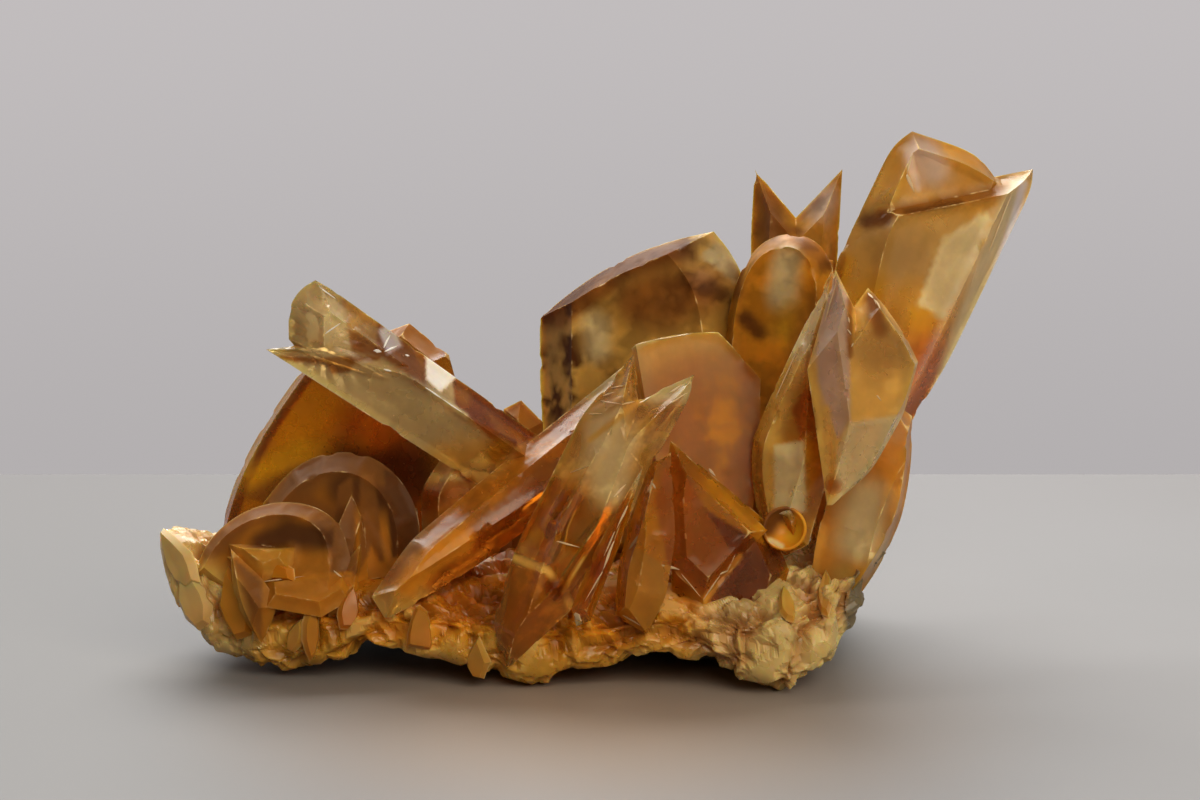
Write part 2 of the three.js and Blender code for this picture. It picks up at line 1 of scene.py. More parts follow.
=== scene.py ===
# %% [markdown]
# # A cluster of golden selenite
#
# Selenite is gypsum that grew as clear crystals, and iron in the brine turned this piece honey-gold.
# Broad blades and swallowtail twins stand on a sugary crust of small crystals, which grew on a skin of
# grey rock.
#
# The construction model holds every large crystal as a closed solid of flat faces, at its real size. This
# lesson keeps those faces where they are and adds what shows from a step away: growth steps, striations,
# chipped edges, colour that deepens towards the roots, and haze. The crust and the rock are made anew on
# the same sections, because their many small crystals and grains are too fine for the solids.

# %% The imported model
import math

import bpy
import numpy as np
from mathutils.geometry import delaunay_2d_cdt
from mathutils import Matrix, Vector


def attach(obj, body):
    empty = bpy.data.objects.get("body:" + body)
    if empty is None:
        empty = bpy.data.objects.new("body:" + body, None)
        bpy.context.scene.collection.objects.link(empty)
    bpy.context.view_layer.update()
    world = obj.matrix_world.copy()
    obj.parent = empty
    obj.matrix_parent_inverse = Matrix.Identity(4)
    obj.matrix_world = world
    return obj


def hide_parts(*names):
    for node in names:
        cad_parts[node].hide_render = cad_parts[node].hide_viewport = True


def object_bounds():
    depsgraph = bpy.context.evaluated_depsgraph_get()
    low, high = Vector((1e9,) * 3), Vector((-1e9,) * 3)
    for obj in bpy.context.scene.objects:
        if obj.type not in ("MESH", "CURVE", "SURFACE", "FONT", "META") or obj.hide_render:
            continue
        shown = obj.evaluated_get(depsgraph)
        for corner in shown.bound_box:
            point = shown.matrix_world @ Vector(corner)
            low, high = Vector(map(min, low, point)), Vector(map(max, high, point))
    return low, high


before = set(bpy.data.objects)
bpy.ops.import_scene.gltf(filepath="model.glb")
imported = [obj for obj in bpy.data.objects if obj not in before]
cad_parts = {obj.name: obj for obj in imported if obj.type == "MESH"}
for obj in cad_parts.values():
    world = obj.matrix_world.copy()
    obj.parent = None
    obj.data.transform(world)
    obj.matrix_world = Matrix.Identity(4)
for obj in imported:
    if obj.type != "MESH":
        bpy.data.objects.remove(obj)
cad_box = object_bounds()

MM = 0.001  # Blender's unit is a metre, and this lesson counts in millimetres
print(len(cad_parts), "solids in a box of", [round((b - a) / MM, 1) for a, b in zip(*cad_box)], "mm")

# %% [markdown]
# ## The camera
#
# The photograph was taken close up with a long lens, nearly level with the table. The camera is made
# first, because marks on the crystals are placed where the photograph shows them: the same camera turns a
# point of the model into a pixel. Guessing each mark's place by eye would work too, but marks and shapes
# would drift apart.

# %% The camera's place and lens
PHOTO = (1200, 800)  # pixels
FOCAL = 3036.0  # the lens, in pixels of the photograph
DISTANCE = 330.0
PITCH = math.radians(9)  # the camera looks down by this much
AIM = np.array([-0.46, -16.28, 30.1])  # what the middle of the photograph shows
SENSOR = 36.0
forward = np.array([0, math.cos(PITCH), -math.sin(PITCH)])
upward = np.array([0, math.sin(PITCH), math.cos(PITCH)])
camera_place = AIM - forward * DISTANCE

camera_data = bpy.data.cameras.new("camera")
camera_data.sensor_width = SENSOR
camera_data.lens = FOCAL * SENSOR / PHOTO[0]
camera_data.clip_start = 0.01
camera = bpy.data.objects.new("camera", camera_data)
camera.location = camera_place * MM
camera.rotation_euler = (math.pi / 2 - PITCH, 0, 0)
bpy.context.scene.collection.objects.link(camera)
bpy.context.scene.camera = camera
print("lens", round(camera_data.lens, 1), "mm at", round(DISTANCE), "mm")

# %% From a point to a pixel
def pixels_of(points):
    """Where the photograph shows points: how far to the right and up, over how far away, times the
    lens."""
    seen = points - camera_place
    away = seen @ forward
    right, up = FOCAL * seen[:, 0] / away, FOCAL * (seen @ upward) / away
    return np.stack([PHOTO[0] / 2 + right, PHOTO[1] / 2 - up], 1)

# %% [markdown]
# ## Noise
#
# Nothing that grew is even. Noise drives the swells of a face, the chips along an edge and the grain of
# the crust. Blender has noise functions for one point at a time. Here it is written with numpy, so that
# it takes all points of a mesh at once.

# %% Easing
def eased(value, low, high):
    """3t² - 2t³, where t is how far the value is from low to high, from 0 to 1."""
    t = np.clip((value - low) / (high - low), 0, 1)
    return t * t * (3 - 2 * t)

# %% Smooth noise
def random_at(cells, seed):
    """A number from 0 to 1 for each whole-number cell: the low bits of a mixed product of large
    numbers."""
    mixed = (cells @ np.array([374761393, 668265263, 1274126177]) + seed * 974634777) & 0xFFFFFFFF
    mixed = (mixed ^ (mixed >> 13)) * 1103515245 & 0xFFFFFFFF
    return ((mixed ^ (mixed >> 16)) & 0xFFFF) / 65535


def noise(points, size, seed=0):
    """From -1 to 1. Each corner of a lattice with cells of a size has a random value. A point takes those
    of the eight corners round it, weighed by 3t² - 2t³ along every axis, where t is how far across the
    cell it is."""
    cell = np.floor(points / size).astype(np.int64)
    across = eased(points / size - cell, 0, 1)
    total = np.zeros(len(points))
    for corner in np.ndindex(2, 2, 2):
        weights = np.where(corner, across, 1 - across).prod(1)
        total += weights * random_at(cell + np.array(corner), seed)
    return 2 * total - 1


def rough_noise(points, size, octaves=3, seed=0):
    """Noise with finer noise on it: each octave has half the size and height of the one before."""
    layers = [noise(points, size / 2**i, seed + i) / 2**i for i in range(octaves)]
    return sum(layers) / (2 - 2.0 ** (1 - octaves))

# %% Grains
def grains(points, size, seed):
    """How far a point is inside its grain: the distance to the second nearest seed less that to the
    nearest, over the size. Each lattice cell holds one seed at a random place."""
    home = np.floor(points / size).astype(np.int64)
    nearest = np.full(len(points), 9.0)
    second = np.full(len(points), 9.0)
    for step in np.ndindex(3, 3, 3):
        cell = home + np.array(step) - 1
        jitter = np.stack([random_at(cell, seed + i) for i in range(3)], 1)
        distance = np.linalg.norm(cell + jitter - points / size, axis=1)
        second = np.minimum(second, np.maximum(distance, nearest))
        nearest = np.minimum(nearest, distance)
    return second - nearest

# %% [markdown]
# ## From a flat solid to a fine grid
#
# A crystal's solid has only the corners that its faces need. Relief needs points all over each face, and
# two faces have to share the points along their edge, so that the crystal stays closed. Blender's
# remesher would round off the edges. So each flat face gets a grid of its own, joined to its outline by a
# Delaunay triangulation.

# %% Corners of a solid
def solid_of(node):
    """The node's corners, each one once, in millimetres, and its triangles."""
    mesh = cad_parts[node].data
    points = np.empty(len(mesh.vertices) * 3)
    mesh.vertices.foreach_get("co", points)
    loops = np.empty(len(mesh.loops), np.int64)
    mesh.loops.foreach_get("vertex_index", loops)
    corners, which = np.unique(np.round(points.reshape(-1, 3) / MM, 4), axis=0, return_inverse=True)
    triangles = which.reshape(-1)[loops].reshape(-1, 3)
    return corners, triangles[(triangles != np.roll(triangles, -1, axis=1)).all(1)]

# %% Sides that triangles share
def sides_of(triangles):
    """All directed sides: the first side of each triangle, then the second ones, then the third."""
    return np.concatenate([triangles[:, [i, (i + 1) % 3]] for i in range(3)])


def twin_sides(triangles):
    """The numbers in sides_of(triangles) of each side that two triangles share."""
    sides = np.sort(sides_of(triangles), axis=1)
    order = np.lexsort(sides.T)
    twins = (sides[order[1:]] == sides[order[:-1]]).all(1)
    return order[:-1][twins], order[1:][twins]


def islands(count, one, other):
    """A label for each thing, where the pairs one and other are joined: the lowest number it can
    reach."""
    labels = np.arange(count)
    while True:
        lowest = labels.copy()
        np.minimum.at(lowest, one, labels[other])
        np.minimum.at(lowest, other, labels[one])
        if (lowest == labels).all():
            return labels
        labels = lowest[lowest]

# %% Flat faces of a solid
SAME_FACE = math.radians(0.3)
THIN = 0.02


def unit(vectors):
    """Vectors over their lengths."""
    return vectors / np.maximum(np.linalg.norm(vectors, axis=-1), 1e-9)[..., None]


def flat_faces(corners, triangles):
    """A label for each triangle: neighbours that face the same way share theirs. A triangle thinner than
    a limit has no sure direction, and goes with the neighbour at its longest side."""
    a, b, c = corners[triangles].transpose(1, 0, 2)
    normals = np.cross(b - a, c - a)
    areas = np.linalg.norm(normals, axis=1)
    normals = unit(normals)
    sides = sides_of(triangles)
    lengths = np.linalg.norm(corners[sides[:, 0]] - corners[sides[:, 1]], axis=1)
    longest = lengths.reshape(3, -1).max(0)
    first, second = twin_sides(triangles)
    one, other = first % len(triangles), second % len(triangles)
    alike = (normals[one] * normals[other]).sum(1) > math.cos(SAME_FACE)
    for triangle in (one, other):
        is_thin = areas[triangle] / longest[triangle] < THIN
        alike = np.where(is_thin, lengths[first] > 0.99 * longest[triangle], alike)
    return islands(len(triangles), one[alike], other[alike])

# %% Along an outline
def stretches(starts, ends, spacing):
    """Straight edges cut into even stretches of about a spacing: start + (end - start) i / n, for i from
    0 to n. Gives both ends of each stretch, and which edge it is on."""
    counts = np.maximum(1, np.round(np.linalg.norm(ends - starts, axis=1) / spacing)).astype(int)
    edge = np.repeat(np.arange(len(counts)), counts)
    step = np.arange(len(edge)) - np.repeat(np.cumsum(counts) - counts, counts)
    share = np.stack([step, step + 1], 1) / counts[edge][:, None]
    return starts[edge][:, None] + (ends - starts)[edge][:, None] * share[..., None], edge


def distance_to_segments(points, starts, ends):
    """The least distance from each point to any segment: to its nearest point, start + t (end -
    start)."""
    along = ends - starts
    t = ((points[:, None] - starts) * along).sum(2) / np.maximum((along * along).sum(1), 1e-12)
    nearest = starts + np.clip(t, 0, 1)[..., None] * along
    return np.linalg.norm(points[:, None] - nearest, axis=2).min(1)

# %% Inside an outline
def inside_triangles(points, triangles):
    """Whether each flat point lies in any of the triangles: on the left of all three sides."""
    a = triangles
    side = np.roll(triangles, -1, axis=1) - a
    x, y = points[:, None, None, 0], points[:, None, None, 1]
    return (side[..., 0] * (y - a[..., 1]) - side[..., 1] * (x - a[..., 0]) > 0).all(2).any(1)


def inside_outline(count, triangles, rim_edges):
    """The triangles within the outline of a face. Those not parted by the outline are one island, and an
    island stays where it lies to the left of an edge of the outline, which runs counterclockwise round
    the face."""
    first, second = twin_sides(triangles)
    on_rim = np.isin(sides_of(triangles) @ [count, 1], rim_edges @ [count, 1])
    joined = ~(on_rim[first] | on_rim[second])
    labels = islands(len(triangles), first[joined] % len(triangles), second[joined] % len(triangles))
    return triangles[np.isin(labels, labels[np.flatnonzero(on_rim) % len(triangles)])]

# %% A grid for one flat face
ROW = math.sqrt(0.75)  # from row to row in a lattice of equal triangles, over their side
RIM_GAP = 0.6  # between the outline and the lattice, over the spacing


def face_grid(corners, triangles, spacing):
    """One flat face as points and triangles: its outline cut into even stretches, and inside it the
    points (i + j/2, j √3/2) of a lattice. Also the direction of the face, and each point's distance to
    the outline."""
    a, b, c = corners[triangles].transpose(1, 0, 2)
    direction = unit(np.cross(b - a, c - a).sum(0))
    across = unit(np.cross(direction, [0.31, 0.17, 0.93]))
    plane = np.stack([across, np.cross(direction, across)], 1)
    sides = sides_of(triangles)
    keys = sides[:, 0] * len(corners) + sides[:, 1]
    rim = sides[~np.isin(sides[:, 1] * len(corners) + sides[:, 0], keys)]
    low, high = rim.min(1), rim.max(1)
    rim_points, edge_of = stretches(corners[low], corners[high], spacing)
    rim_3d, which = np.unique(np.round(rim_points.reshape(-1, 3), 4), axis=0, return_inverse=True)
    rim_edges = which.reshape(-1, 2)
    backward = (rim[:, 0] > rim[:, 1])[edge_of]
    rim_edges[backward] = rim_edges[backward, ::-1]
    rim_2d = rim_3d @ plane
    lowest, highest = rim_2d.min(0), rim_2d.max(0)
    rows = np.arange(math.ceil((highest[1] - lowest[1]) / (spacing * ROW)) + 1)
    columns = np.arange(math.ceil((highest[0] - lowest[0]) / spacing) + 2)
    j, i = [grid.ravel() for grid in np.meshgrid(rows, columns, indexing="ij")]
    lattice = lowest + np.stack([(i - 0.5 * (j % 2)) * spacing, j * spacing * ROW], 1)
    lattice = lattice[inside_triangles(lattice, corners[triangles] @ plane)]
    from_rim = distance_to_segments(lattice, corners[low] @ plane, corners[high] @ plane)
    lattice = lattice[from_rim > RIM_GAP * spacing]
    from_rim = from_rim[from_rim > RIM_GAP * spacing]
    flat = np.concatenate([rim_2d, lattice])
    made = delaunay_2d_cdt(flat.tolist(), rim_edges.tolist(), [], 0, 1e-7)
    origin = np.array([source[0] if source else -1 for source in made[3]])
    new_triangles = origin[np.array(made[2], dtype=np.int64).reshape(-1, 3)]
    depth = (corners[triangles[:, 0]] @ direction).mean()
    points = np.concatenate([rim_3d, lattice @ plane.T + depth * direction])
    from_rim = np.concatenate([np.zeros(len(rim_3d)), from_rim])
    return points, inside_outline(len(flat), new_triangles, rim_edges), direction, from_rim

# %% A whole crystal as one fine closed mesh
def fine_crystal(node, spacing):
    """All faces of a node as grids, with the points on shared edges merged. Gives points, triangles, the
    direction of each triangle's face, and each point's distance to the nearest edge."""
    corners, triangles = solid_of(node)
    labels = flat_faces(corners, triangles)
    grids = [face_grid(corners, triangles[labels == label], spacing) for label in np.unique(labels)]
    points, faces, directions, from_rim = zip(*grids)
    starts = np.cumsum([0, *map(len, points)])
    triangles = np.concatenate([face + start for face, start in zip(faces, starts)])
    merged, which = np.unique(np.round(np.concatenate(points), 3), axis=0, return_inverse=True)
    which = which.reshape(-1)
    rim = np.zeros(len(merged))
    rim[which] = np.concatenate(from_rim)
    return merged, which[triangles], np.repeat(directions, [len(face) for face in faces], axis=0), rim

# %% [markdown]
# ### Round where the crystal is round
#
# A solid of flat faces shows a curved outline as a polygon. On the real crystals those outlines are
# smooth, while the edges between a broad face and the rim stay crisp. So the points are evened out, each
# towards the mean of its neighbours: those on a crisp edge only along that edge. Corners that turn
# sharply stay where they are.

# %% The mean of the neighbours
STRAIGHT = (27, 38, 14)  # degrees between faces at a crisp edge, degrees that it turns at a corner, steps
ROUND = (30, 60, 80)
round_crystals = ("left_rosette", "back_lens", "round_fan", "mottled_blade", "left_slab", "rear_left_fan")


def mean_of_neighbours(points, sides):
    """For each point, the mean of those at the other end of its sides, and how many they are."""
    here, there = np.concatenate([sides, sides[:, ::-1]]).T
    number = np.bincount(here, minlength=len(points))
    total = np.stack([np.bincount(here, points[there, axis], len(points)) for axis in range(3)], 1)
    return total / np.maximum(number, 1)[:, None], number

# %% Evening out
def evened(points, triangles, directions, crisp_angle, corner_angle, steps):
    """The points after some steps halfway towards the mean of their neighbours, and which of them are on
    a crisp edge, one where the directions of two faces differ by more than the crisp angle."""
    first, second = twin_sides(triangles)
    sides = sides_of(triangles)[first]
    one, other = first % len(triangles), second % len(triangles)
    crisp = sides[(directions[one] * directions[other]).sum(1) < math.cos(math.radians(crisp_angle))]
    edge_mean, edges_here = mean_of_neighbours(points, crisp)
    on_edge = edges_here > 0
    side_length = np.linalg.norm(points[crisp[:, 0]] - points[crisp[:, 1]], axis=1).mean()
    longest_step = side_length * math.sin(math.radians(corner_angle / 2))
    turning = np.linalg.norm(edge_mean - points, axis=1) > longest_step
    fixed = on_edge & ((edges_here != 2) | turning)
    for _ in range(steps):
        inner, along_edge = [mean_of_neighbours(points, chosen)[0] for chosen in (sides, crisp)]
        goal = np.where(on_edge[:, None], along_edge, inner)
        points = points + np.where(fixed[:, None], 0, 0.5 * (goal - points))
    return points, on_edge

# %% [markdown]
# ## Growth steps, striations and chips
#
# A face that looks flat isn't: gypsum grows in thin steps along its length, swells a little, and is so
# soft that every edge has small chips. A bump in the material could fake the steps, but the outline would
# stay too clean. So the points are moved: by hundredths of a millimetre on the faces, more along the
# edges.

# %% Directions
def directions_of(points, triangles):
    """The direction out of the surface at each point: the sum of the cross products of its triangles'
    sides."""
    a, b, c = points[triangles].transpose(1, 0, 2)
    total = np.zeros_like(points)
    for corner in range(3):
        np.add.at(total, triangles[:, corner], np.cross(b - a, c - a))
    return unit(total)


def long_way(points):
    """The direction in which points spread most: the first axis of their scatter."""
    return np.linalg.svd(points - points.mean(0), full_matrices=False)[2][0]

# %% Relief of a crystal
STEP_SIZE, STEP_HEIGHT = 3.4, 0.02
SWELL_SIZE, SWELL_HEIGHT = 11, 0.05
FINE_STRIA, BROAD_STRIA, STRIA_HEIGHT = 0.7, 1.6, 0.012
CHIP_SIZE, CHIP_DEPTH = 1.8, 0.25
STRETCH = 0.07  # a stripe is this much narrower than long
FACE_EASE, CHIP_REACH = 0.9, 0.55  # from the edge, in millimetres


def with_relief(points, directions, rim, seed):
    """Points moved inwards along their own directions. On a face by a slow swell, by growth steps, which
    are noise rounded down to whole steps with eased risers, and by striations, noise stretched along the
    crystal. At the edges by chips, the part of a rough noise that is above a limit. Rim is the distance
    to the nearest edge."""
    along = long_way(points)
    across = unit(np.cross(directions, along))
    which_face = directions @ [2.3, 5.1, 7.7]
    striped = np.stack([(points * across).sum(1), (points @ along) * STRETCH, which_face], 1)
    level = 3 * (noise(striped, STEP_SIZE, seed) + 0.6 * noise(points, 9, seed + 1) + 1.6)
    steps = np.floor(level) + eased(level % 1, 0.7, 1)
    swell = rough_noise(points, SWELL_SIZE, 2, seed + 2)
    striae = noise(striped, FINE_STRIA, seed + 3) + noise(striped, BROAD_STRIA, seed + 4)
    depth = STEP_HEIGHT * steps + SWELL_HEIGHT * (1 + swell) + STRIA_HEIGHT * (2 + striae)
    depth *= eased(rim, 0, FACE_EASE)
    nicks = eased(rough_noise(points, CHIP_SIZE, 2, seed + 5), 0.25, 0.6) + 0.04
    depth += CHIP_DEPTH * nicks * (1 - eased(rim, 0, CHIP_REACH))
    return points - directions * depth[:, None]

# %% Broken fans
def with_fans(points, directions, rim, fans):
    """Points moved inwards where a broken end shows ridges that radiate from a place in the photograph.
    The depth is a wave of the angle round that place, with sharp ridges, and fades with the distance and
    at the edges. A fan is x, y, radius in pixels, the number of ridges in a full turn, and depth."""
    pixels = pixels_of(points)
    for x, y, radius, ridges, depth in fans:
        away = pixels - [x, y]
        distance = np.linalg.norm(away, axis=1)
        wave = np.abs(np.sin(np.arctan2(away[:, 1], away[:, 0]) * ridges / 2 + 0.4 * noise(points, 3, 8)))
        fade = eased(distance, 0.1 * radius, 0.4 * radius) * (1 - eased(distance, 0.75 * radius, radius))
        points = points - directions * (depth * (1 - wave) * fade * eased(rim, 0.2, 0.9))[:, None]
    return points

# %% [markdown]
# ## Colour by place
#
# The honey colour isn't even: it is pale and milky at the tips, deep orange at the roots, and brown where
# dust and rust lie in a band. A noise alone would put such marks anywhere. Here they are brush strokes: a
# line of places in the photograph, a width and a colour. Each point of a crystal takes the strokes that
# pass where the photograph shows it. The fourth number of the painted colour is haze, from clear to
# milky.
# A few strokes paint light and shade instead: a white highlight on the pale twin, a silver reflection,
# faces painted paler as reflections, and one face painted darker as shade.

# %% The palette
SEEN = {
    "white": (240, 222, 232), "cream": (204, 174, 140), "straw": (180, 136, 74), "honey": (160, 110, 40),
    "yellow": (176, 124, 26), "amber": (148, 92, 26), "gold": (172, 110, 22), "orange": (150, 84, 22),
    "rust": (122, 64, 18), "brown": (116, 70, 28), "umber": (84, 46, 14), "olive": (144, 106, 60),
    "lavender": (156, 126, 116), "rose": (140, 96, 62), "peach": (172, 114, 46), "silver": (184, 166, 178),
    "stone": (124, 110, 84), "sand": (156, 130, 98),
}
LIFT = np.array([2.25, 2.6, 2.2])  # the surface is paler than it looks: the stuff below it adds colour
THIN_LIFT = np.array([2.35, 2.6, 1.8])  # for crystals too thin to hold much colour


def linear(colour):
    """Screen values from 0 to 255 as light from 0 to 1: ((c + 0.055) / 1.055)^2.4, and c / 12.92 below
    0.04."""
    c = np.asarray(colour) / 255
    return np.where(c < 0.04045, c / 12.92, ((c + 0.055) / 1.055) ** 2.4)


def surface_colour(name, lift=LIFT):
    """The colour to paint for one that is seen: lifted, and dimmed again where a channel would be over
    0.9."""
    lifted = linear(SEEN[name]) * lift
    return lifted * min(1, 0.9 / lifted.max())

# %% Brush strokes
def stroke_distance(pixels, line):
    """How far each pixel is from a line of places, given as x, y, x, y and so on."""
    ends = np.array(line, float).reshape(-1, 2)
    if len(ends) == 1:
        return np.linalg.norm(pixels - ends[0], axis=1)
    return distance_to_segments(pixels, ends[:-1], ends[1:])


def within_outline(pixels, corners):
    """Whether each pixel lies inside an outline: a line to the right of it crosses the outline an odd
    number of times."""
    a, b = corners, np.roll(corners, -1, axis=0)
    level = pixels[:, 1:]
    spans = (a[:, 1] > level) != (b[:, 1] > level)
    rise = np.where(a[:, 1] == b[:, 1], 1, b[:, 1] - a[:, 1])
    crossing = a[:, 0] + (b[:, 0] - a[:, 0]) * (level - a[:, 1]) / rise
    return (spans & (crossing > pixels[:, :1])).sum(1) % 2 == 1

# %% Paint
RAGGED_SIZE = 3
BLOTCH_SIZE = 1.9
PATCH_SIZE = 7


def painted(points, base, haze, strokes, seed=0, mottle=0.0):
    """Red, green, blue and haze of each point. A stroke covers where its distance is under its width,
    with an eased and ragged border. A stroke of width 0 is an area instead, with crisp borders: its
    places are corners. A later stroke lies over an earlier one. Mottle is how dark the rusty blotches
    are, where a rough noise is high."""
    pixels = pixels_of(points)
    ragged = rough_noise(points, RAGGED_SIZE, 3, seed)
    paint = np.tile([*surface_colour(base), haze], (len(points), 1))
    for name, stroke_haze, width, *line in strokes:
        if width:
            distance = stroke_distance(pixels, line) * (1 + 0.3 * ragged)
            cover = 1 - eased(distance, 0.3 * width, 1.6 * width)
        else:
            outline = np.array(line, float).reshape(-1, 2)
            distance = distance_to_segments(pixels, outline, np.roll(outline, -1, axis=0))
            cover = eased(np.where(within_outline(pixels, outline), distance, -distance), -2, 2)
        paint += (np.array([*surface_colour(name), stroke_haze]) - paint) * cover[:, None]
    blotches = eased(rough_noise(points, BLOTCH_SIZE, 4, seed + 9), -0.2, 0.3)
    blotches *= 0.55 + 0.45 * eased(rough_noise(points, PATCH_SIZE, 2, seed + 19), -0.2, 0.2)
    paint += (np.array([*surface_colour("umber", 1.1), 1.0]) - paint) * (mottle * blotches)[:, None]
    return paint

# %% Places on the surface
AROUND = 4  # pixels


def seen_at(points, out, place):
    """Which point the photograph shows at a place: of those that face the camera within a few pixels of
    it, the nearest to the camera."""
    facing = (out * (points - camera_place)).sum(1) < 0
    apart = np.linalg.norm(pixels_of(points) - place, axis=1) + 1e3 * ~facing
    return np.argmin(np.where(apart < apart.min() + AROUND, (points - camera_place) @ forward, 1e9))

# %% From arrays to a Blender object
def new_object(name, points, triangles, attributes, smooth_angle=None):
    """A mesh object from points in millimetres, with each attribute as one number or one colour for each
    point."""
    mesh = bpy.data.meshes.new(name)
    mesh.from_pydata((points * MM).tolist(), [], triangles.tolist())
    for label, values in attributes.items():
        kind = "FLOAT_COLOR" if values.ndim == 2 else "FLOAT"
        layer = mesh.attributes.new(label, kind, "POINT")
        layer.data.foreach_set("color" if values.ndim == 2 else "value", values.astype(np.float32).ravel())
    mesh.validate()
    if smooth_angle is not None:
        mesh.polygons.foreach_set("use_smooth", np.ones(len(mesh.polygons), bool))
        mesh.set_sharp_from_angle(angle=math.radians(smooth_angle))
    piece = bpy.data.objects.new(name, mesh)
    bpy.context.scene.collection.objects.link(piece)
    return piece

# %% [markdown]
# ## The stuff of the crystals
#
# Selenite is glass-like, with a refractive index of 1.52, and the honey colour is inside it: thick parts
# are deeper in colour than thin edges. An opaque painted surface would look like toffee. So each crystal
# is a closed body that lets light through and takes blue out of it along the way. Haze, dust and bruised
# edges scatter light, and there the material lets less through.

# %% Nodes
def new_material(name):
    """An empty material and its node tree."""
    material = bpy.data.materials.new(name)
    material.use_nodes = True
    material.node_tree.nodes.clear()
    return material, material.node_tree


def set_input(tree, socket, value):
    """A link from another node's output, or a constant."""
    if isinstance(value, bpy.types.NodeSocket):
        tree.links.new(value, socket)
    else:
        socket.default_value = value


def add(tree, kind, inputs=None, **settings):
    """A node with its settings and inputs."""
    node = tree.nodes.new(kind)
    for label, value in settings.items():
        setattr(node, label, value)
    for label, value in (inputs or {}).items():
        set_input(tree, node.inputs[label], value)
    return node

# %% Sums, ramps, mixes and noise
def math_node(tree, operation, a, b, clamp=False):
    """One sum or product."""
    return add(tree, "ShaderNodeMath", {0: a, 1: b}, operation=operation, use_clamp=clamp).outputs[0]


def ramp(tree, value, low, high, to_low, to_high):
    """The value moved from the range low to high to another range, eased and held at its ends."""
    inputs = {"Value": value, "From Min": low, "From Max": high, "To Min": to_low, "To Max": to_high}
    return add(tree, "ShaderNodeMapRange", inputs, interpolation_type="SMOOTHSTEP").outputs[0]


def mix_colours(tree, share, a, b, blend="MIX"):
    """Two colours mixed: a + (b - a) share, or a b where they are multiplied."""
    node = add(tree, "ShaderNodeMix", {"Factor": share}, data_type="RGBA", blend_type=blend)
    for socket, value in zip(node.inputs[6:8], (a, b)):
        set_input(tree, socket, (*value, 1) if isinstance(value, tuple) else value)
    return node.outputs[2]


def noise_node(tree, place, per_metre, detail=3.0, roughness=0.6):
    """A rough noise with a number of waves to the metre, from 0 to 1."""
    inputs = {"Vector": place, "Scale": per_metre, "Detail": detail, "Roughness": roughness}
    return add(tree, "ShaderNodeTexNoise", inputs).outputs[0]

# %% What the finishes share
def object_place(tree):
    """The place in the object's own coordinates."""
    return add(tree, "ShaderNodeTexCoord").outputs["Object"]


def painted_colour(tree, tone, bruise, pale):
    """The painted colour times a tone, paler where it is bruised, and the painted haze."""
    paint = add(tree, "ShaderNodeAttribute", attribute_name="paint")
    grey = add(tree, "ShaderNodeCombineColor", {0: tone, 1: tone, 2: tone}).outputs[0]
    toned = mix_colours(tree, 1.0, paint.outputs["Color"], grey, "MULTIPLY")
    return mix_colours(tree, bruise, toned, pale), paint.outputs["Alpha"]


def finish(material, tree, inputs, body=None, depth=0.0):
    """The surface of a material, and where a body colour is given an inside that absorbs what this colour
    lacks."""
    shader = add(tree, "ShaderNodeBsdfPrincipled", inputs)
    output = add(tree, "ShaderNodeOutputMaterial", {"Surface": shader.outputs[0]})
    if body:
        inside = add(tree, "ShaderNodeVolumeAbsorption", {"Color": (*body, 1), "Density": depth})
        set_input(tree, output.inputs["Volume"], inside.outputs[0])
    return material

# %% Crystal material
SELENITE_IOR = 1.52


def crystal_material(name, along, clear=0.9, shine=0.3, depth=260.0, gloss=0.2, body=(0.88, 0.74, 0.06)):
    """Clear is how much light the crystal lets through where it has no haze, shine the roughness of a
    clean face, and gloss how much a face reflects, where 0.5 is that of clean glass. Depth is how
    strongly a metre of it takes out what the body colour lacks. The stripes run along the crystal: noise
    in coordinates that are turned so."""
    material, tree = new_material(name)
    place = object_place(tree)
    x, y, z = along
    turn = (math.atan2(math.hypot(x, y), z), 0, math.atan2(x, -y))
    upright = add(tree, "ShaderNodeMapping", {0: place, "Rotation": turn}, vector_type="TEXTURE")
    streaks = add(tree, "ShaderNodeMapping", {0: upright.outputs[0], "Scale": (1, 1, 0.08)}).outputs[0]
    rim = add(tree, "ShaderNodeAttribute", attribute_name="rim").outputs["Fac"]
    clouds = noise_node(tree, place, 160, 4, 0.65)
    stripes = noise_node(tree, streaks, 900, 4, 0.6)
    grime = noise_node(tree, place, 500, 2, 0.5)
    worn = ramp(tree, noise_node(tree, place, 420, 3, 0.7), 0.5, 0.68, 0, 1)
    bruise = math_node(tree, "MULTIPLY", ramp(tree, rim, 0.02, 0.2, 0.7, 0), worn)
    shade = ramp(tree, clouds, 0.3, 0.7, 0.86, 1.1)
    tone = math_node(tree, "MULTIPLY", shade, ramp(tree, stripes, 0.25, 0.75, 0.97, 1.02))
    colour, haze = painted_colour(tree, tone, bruise, (0.9, 0.7, 0.36))
    haze = math_node(tree, "ADD", haze, ramp(tree, clouds, 0.5, 0.75, 0, 0.25))
    haze = math_node(tree, "ADD", haze, math_node(tree, "MULTIPLY", bruise, 0.6), clamp=True)
    dusty = ramp(tree, grime, 0.45, 0.7, 0, 0.1)
    roughness = math_node(tree, "ADD", math_node(tree, "MULTIPLY", haze, 0.14), dusty)
    bump = add(tree, "ShaderNodeBump", {"Height": stripes, "Strength": 0.06, "Distance": 0.00004})
    return finish(material, tree, {
        "Base Color": colour, "Roughness": math_node(tree, "ADD", roughness, shine, clamp=True),
        "IOR": SELENITE_IOR, "Transmission Weight": ramp(tree, haze, 0, 1.1, clear, 0.04),
        "Subsurface Weight": 0.4, "Subsurface Radius": (1.0, 0.65, 0.2), "Subsurface Scale": 0.002,
        "Specular IOR Level": gloss, "Normal": bump.outputs[0],
    }, body, depth)
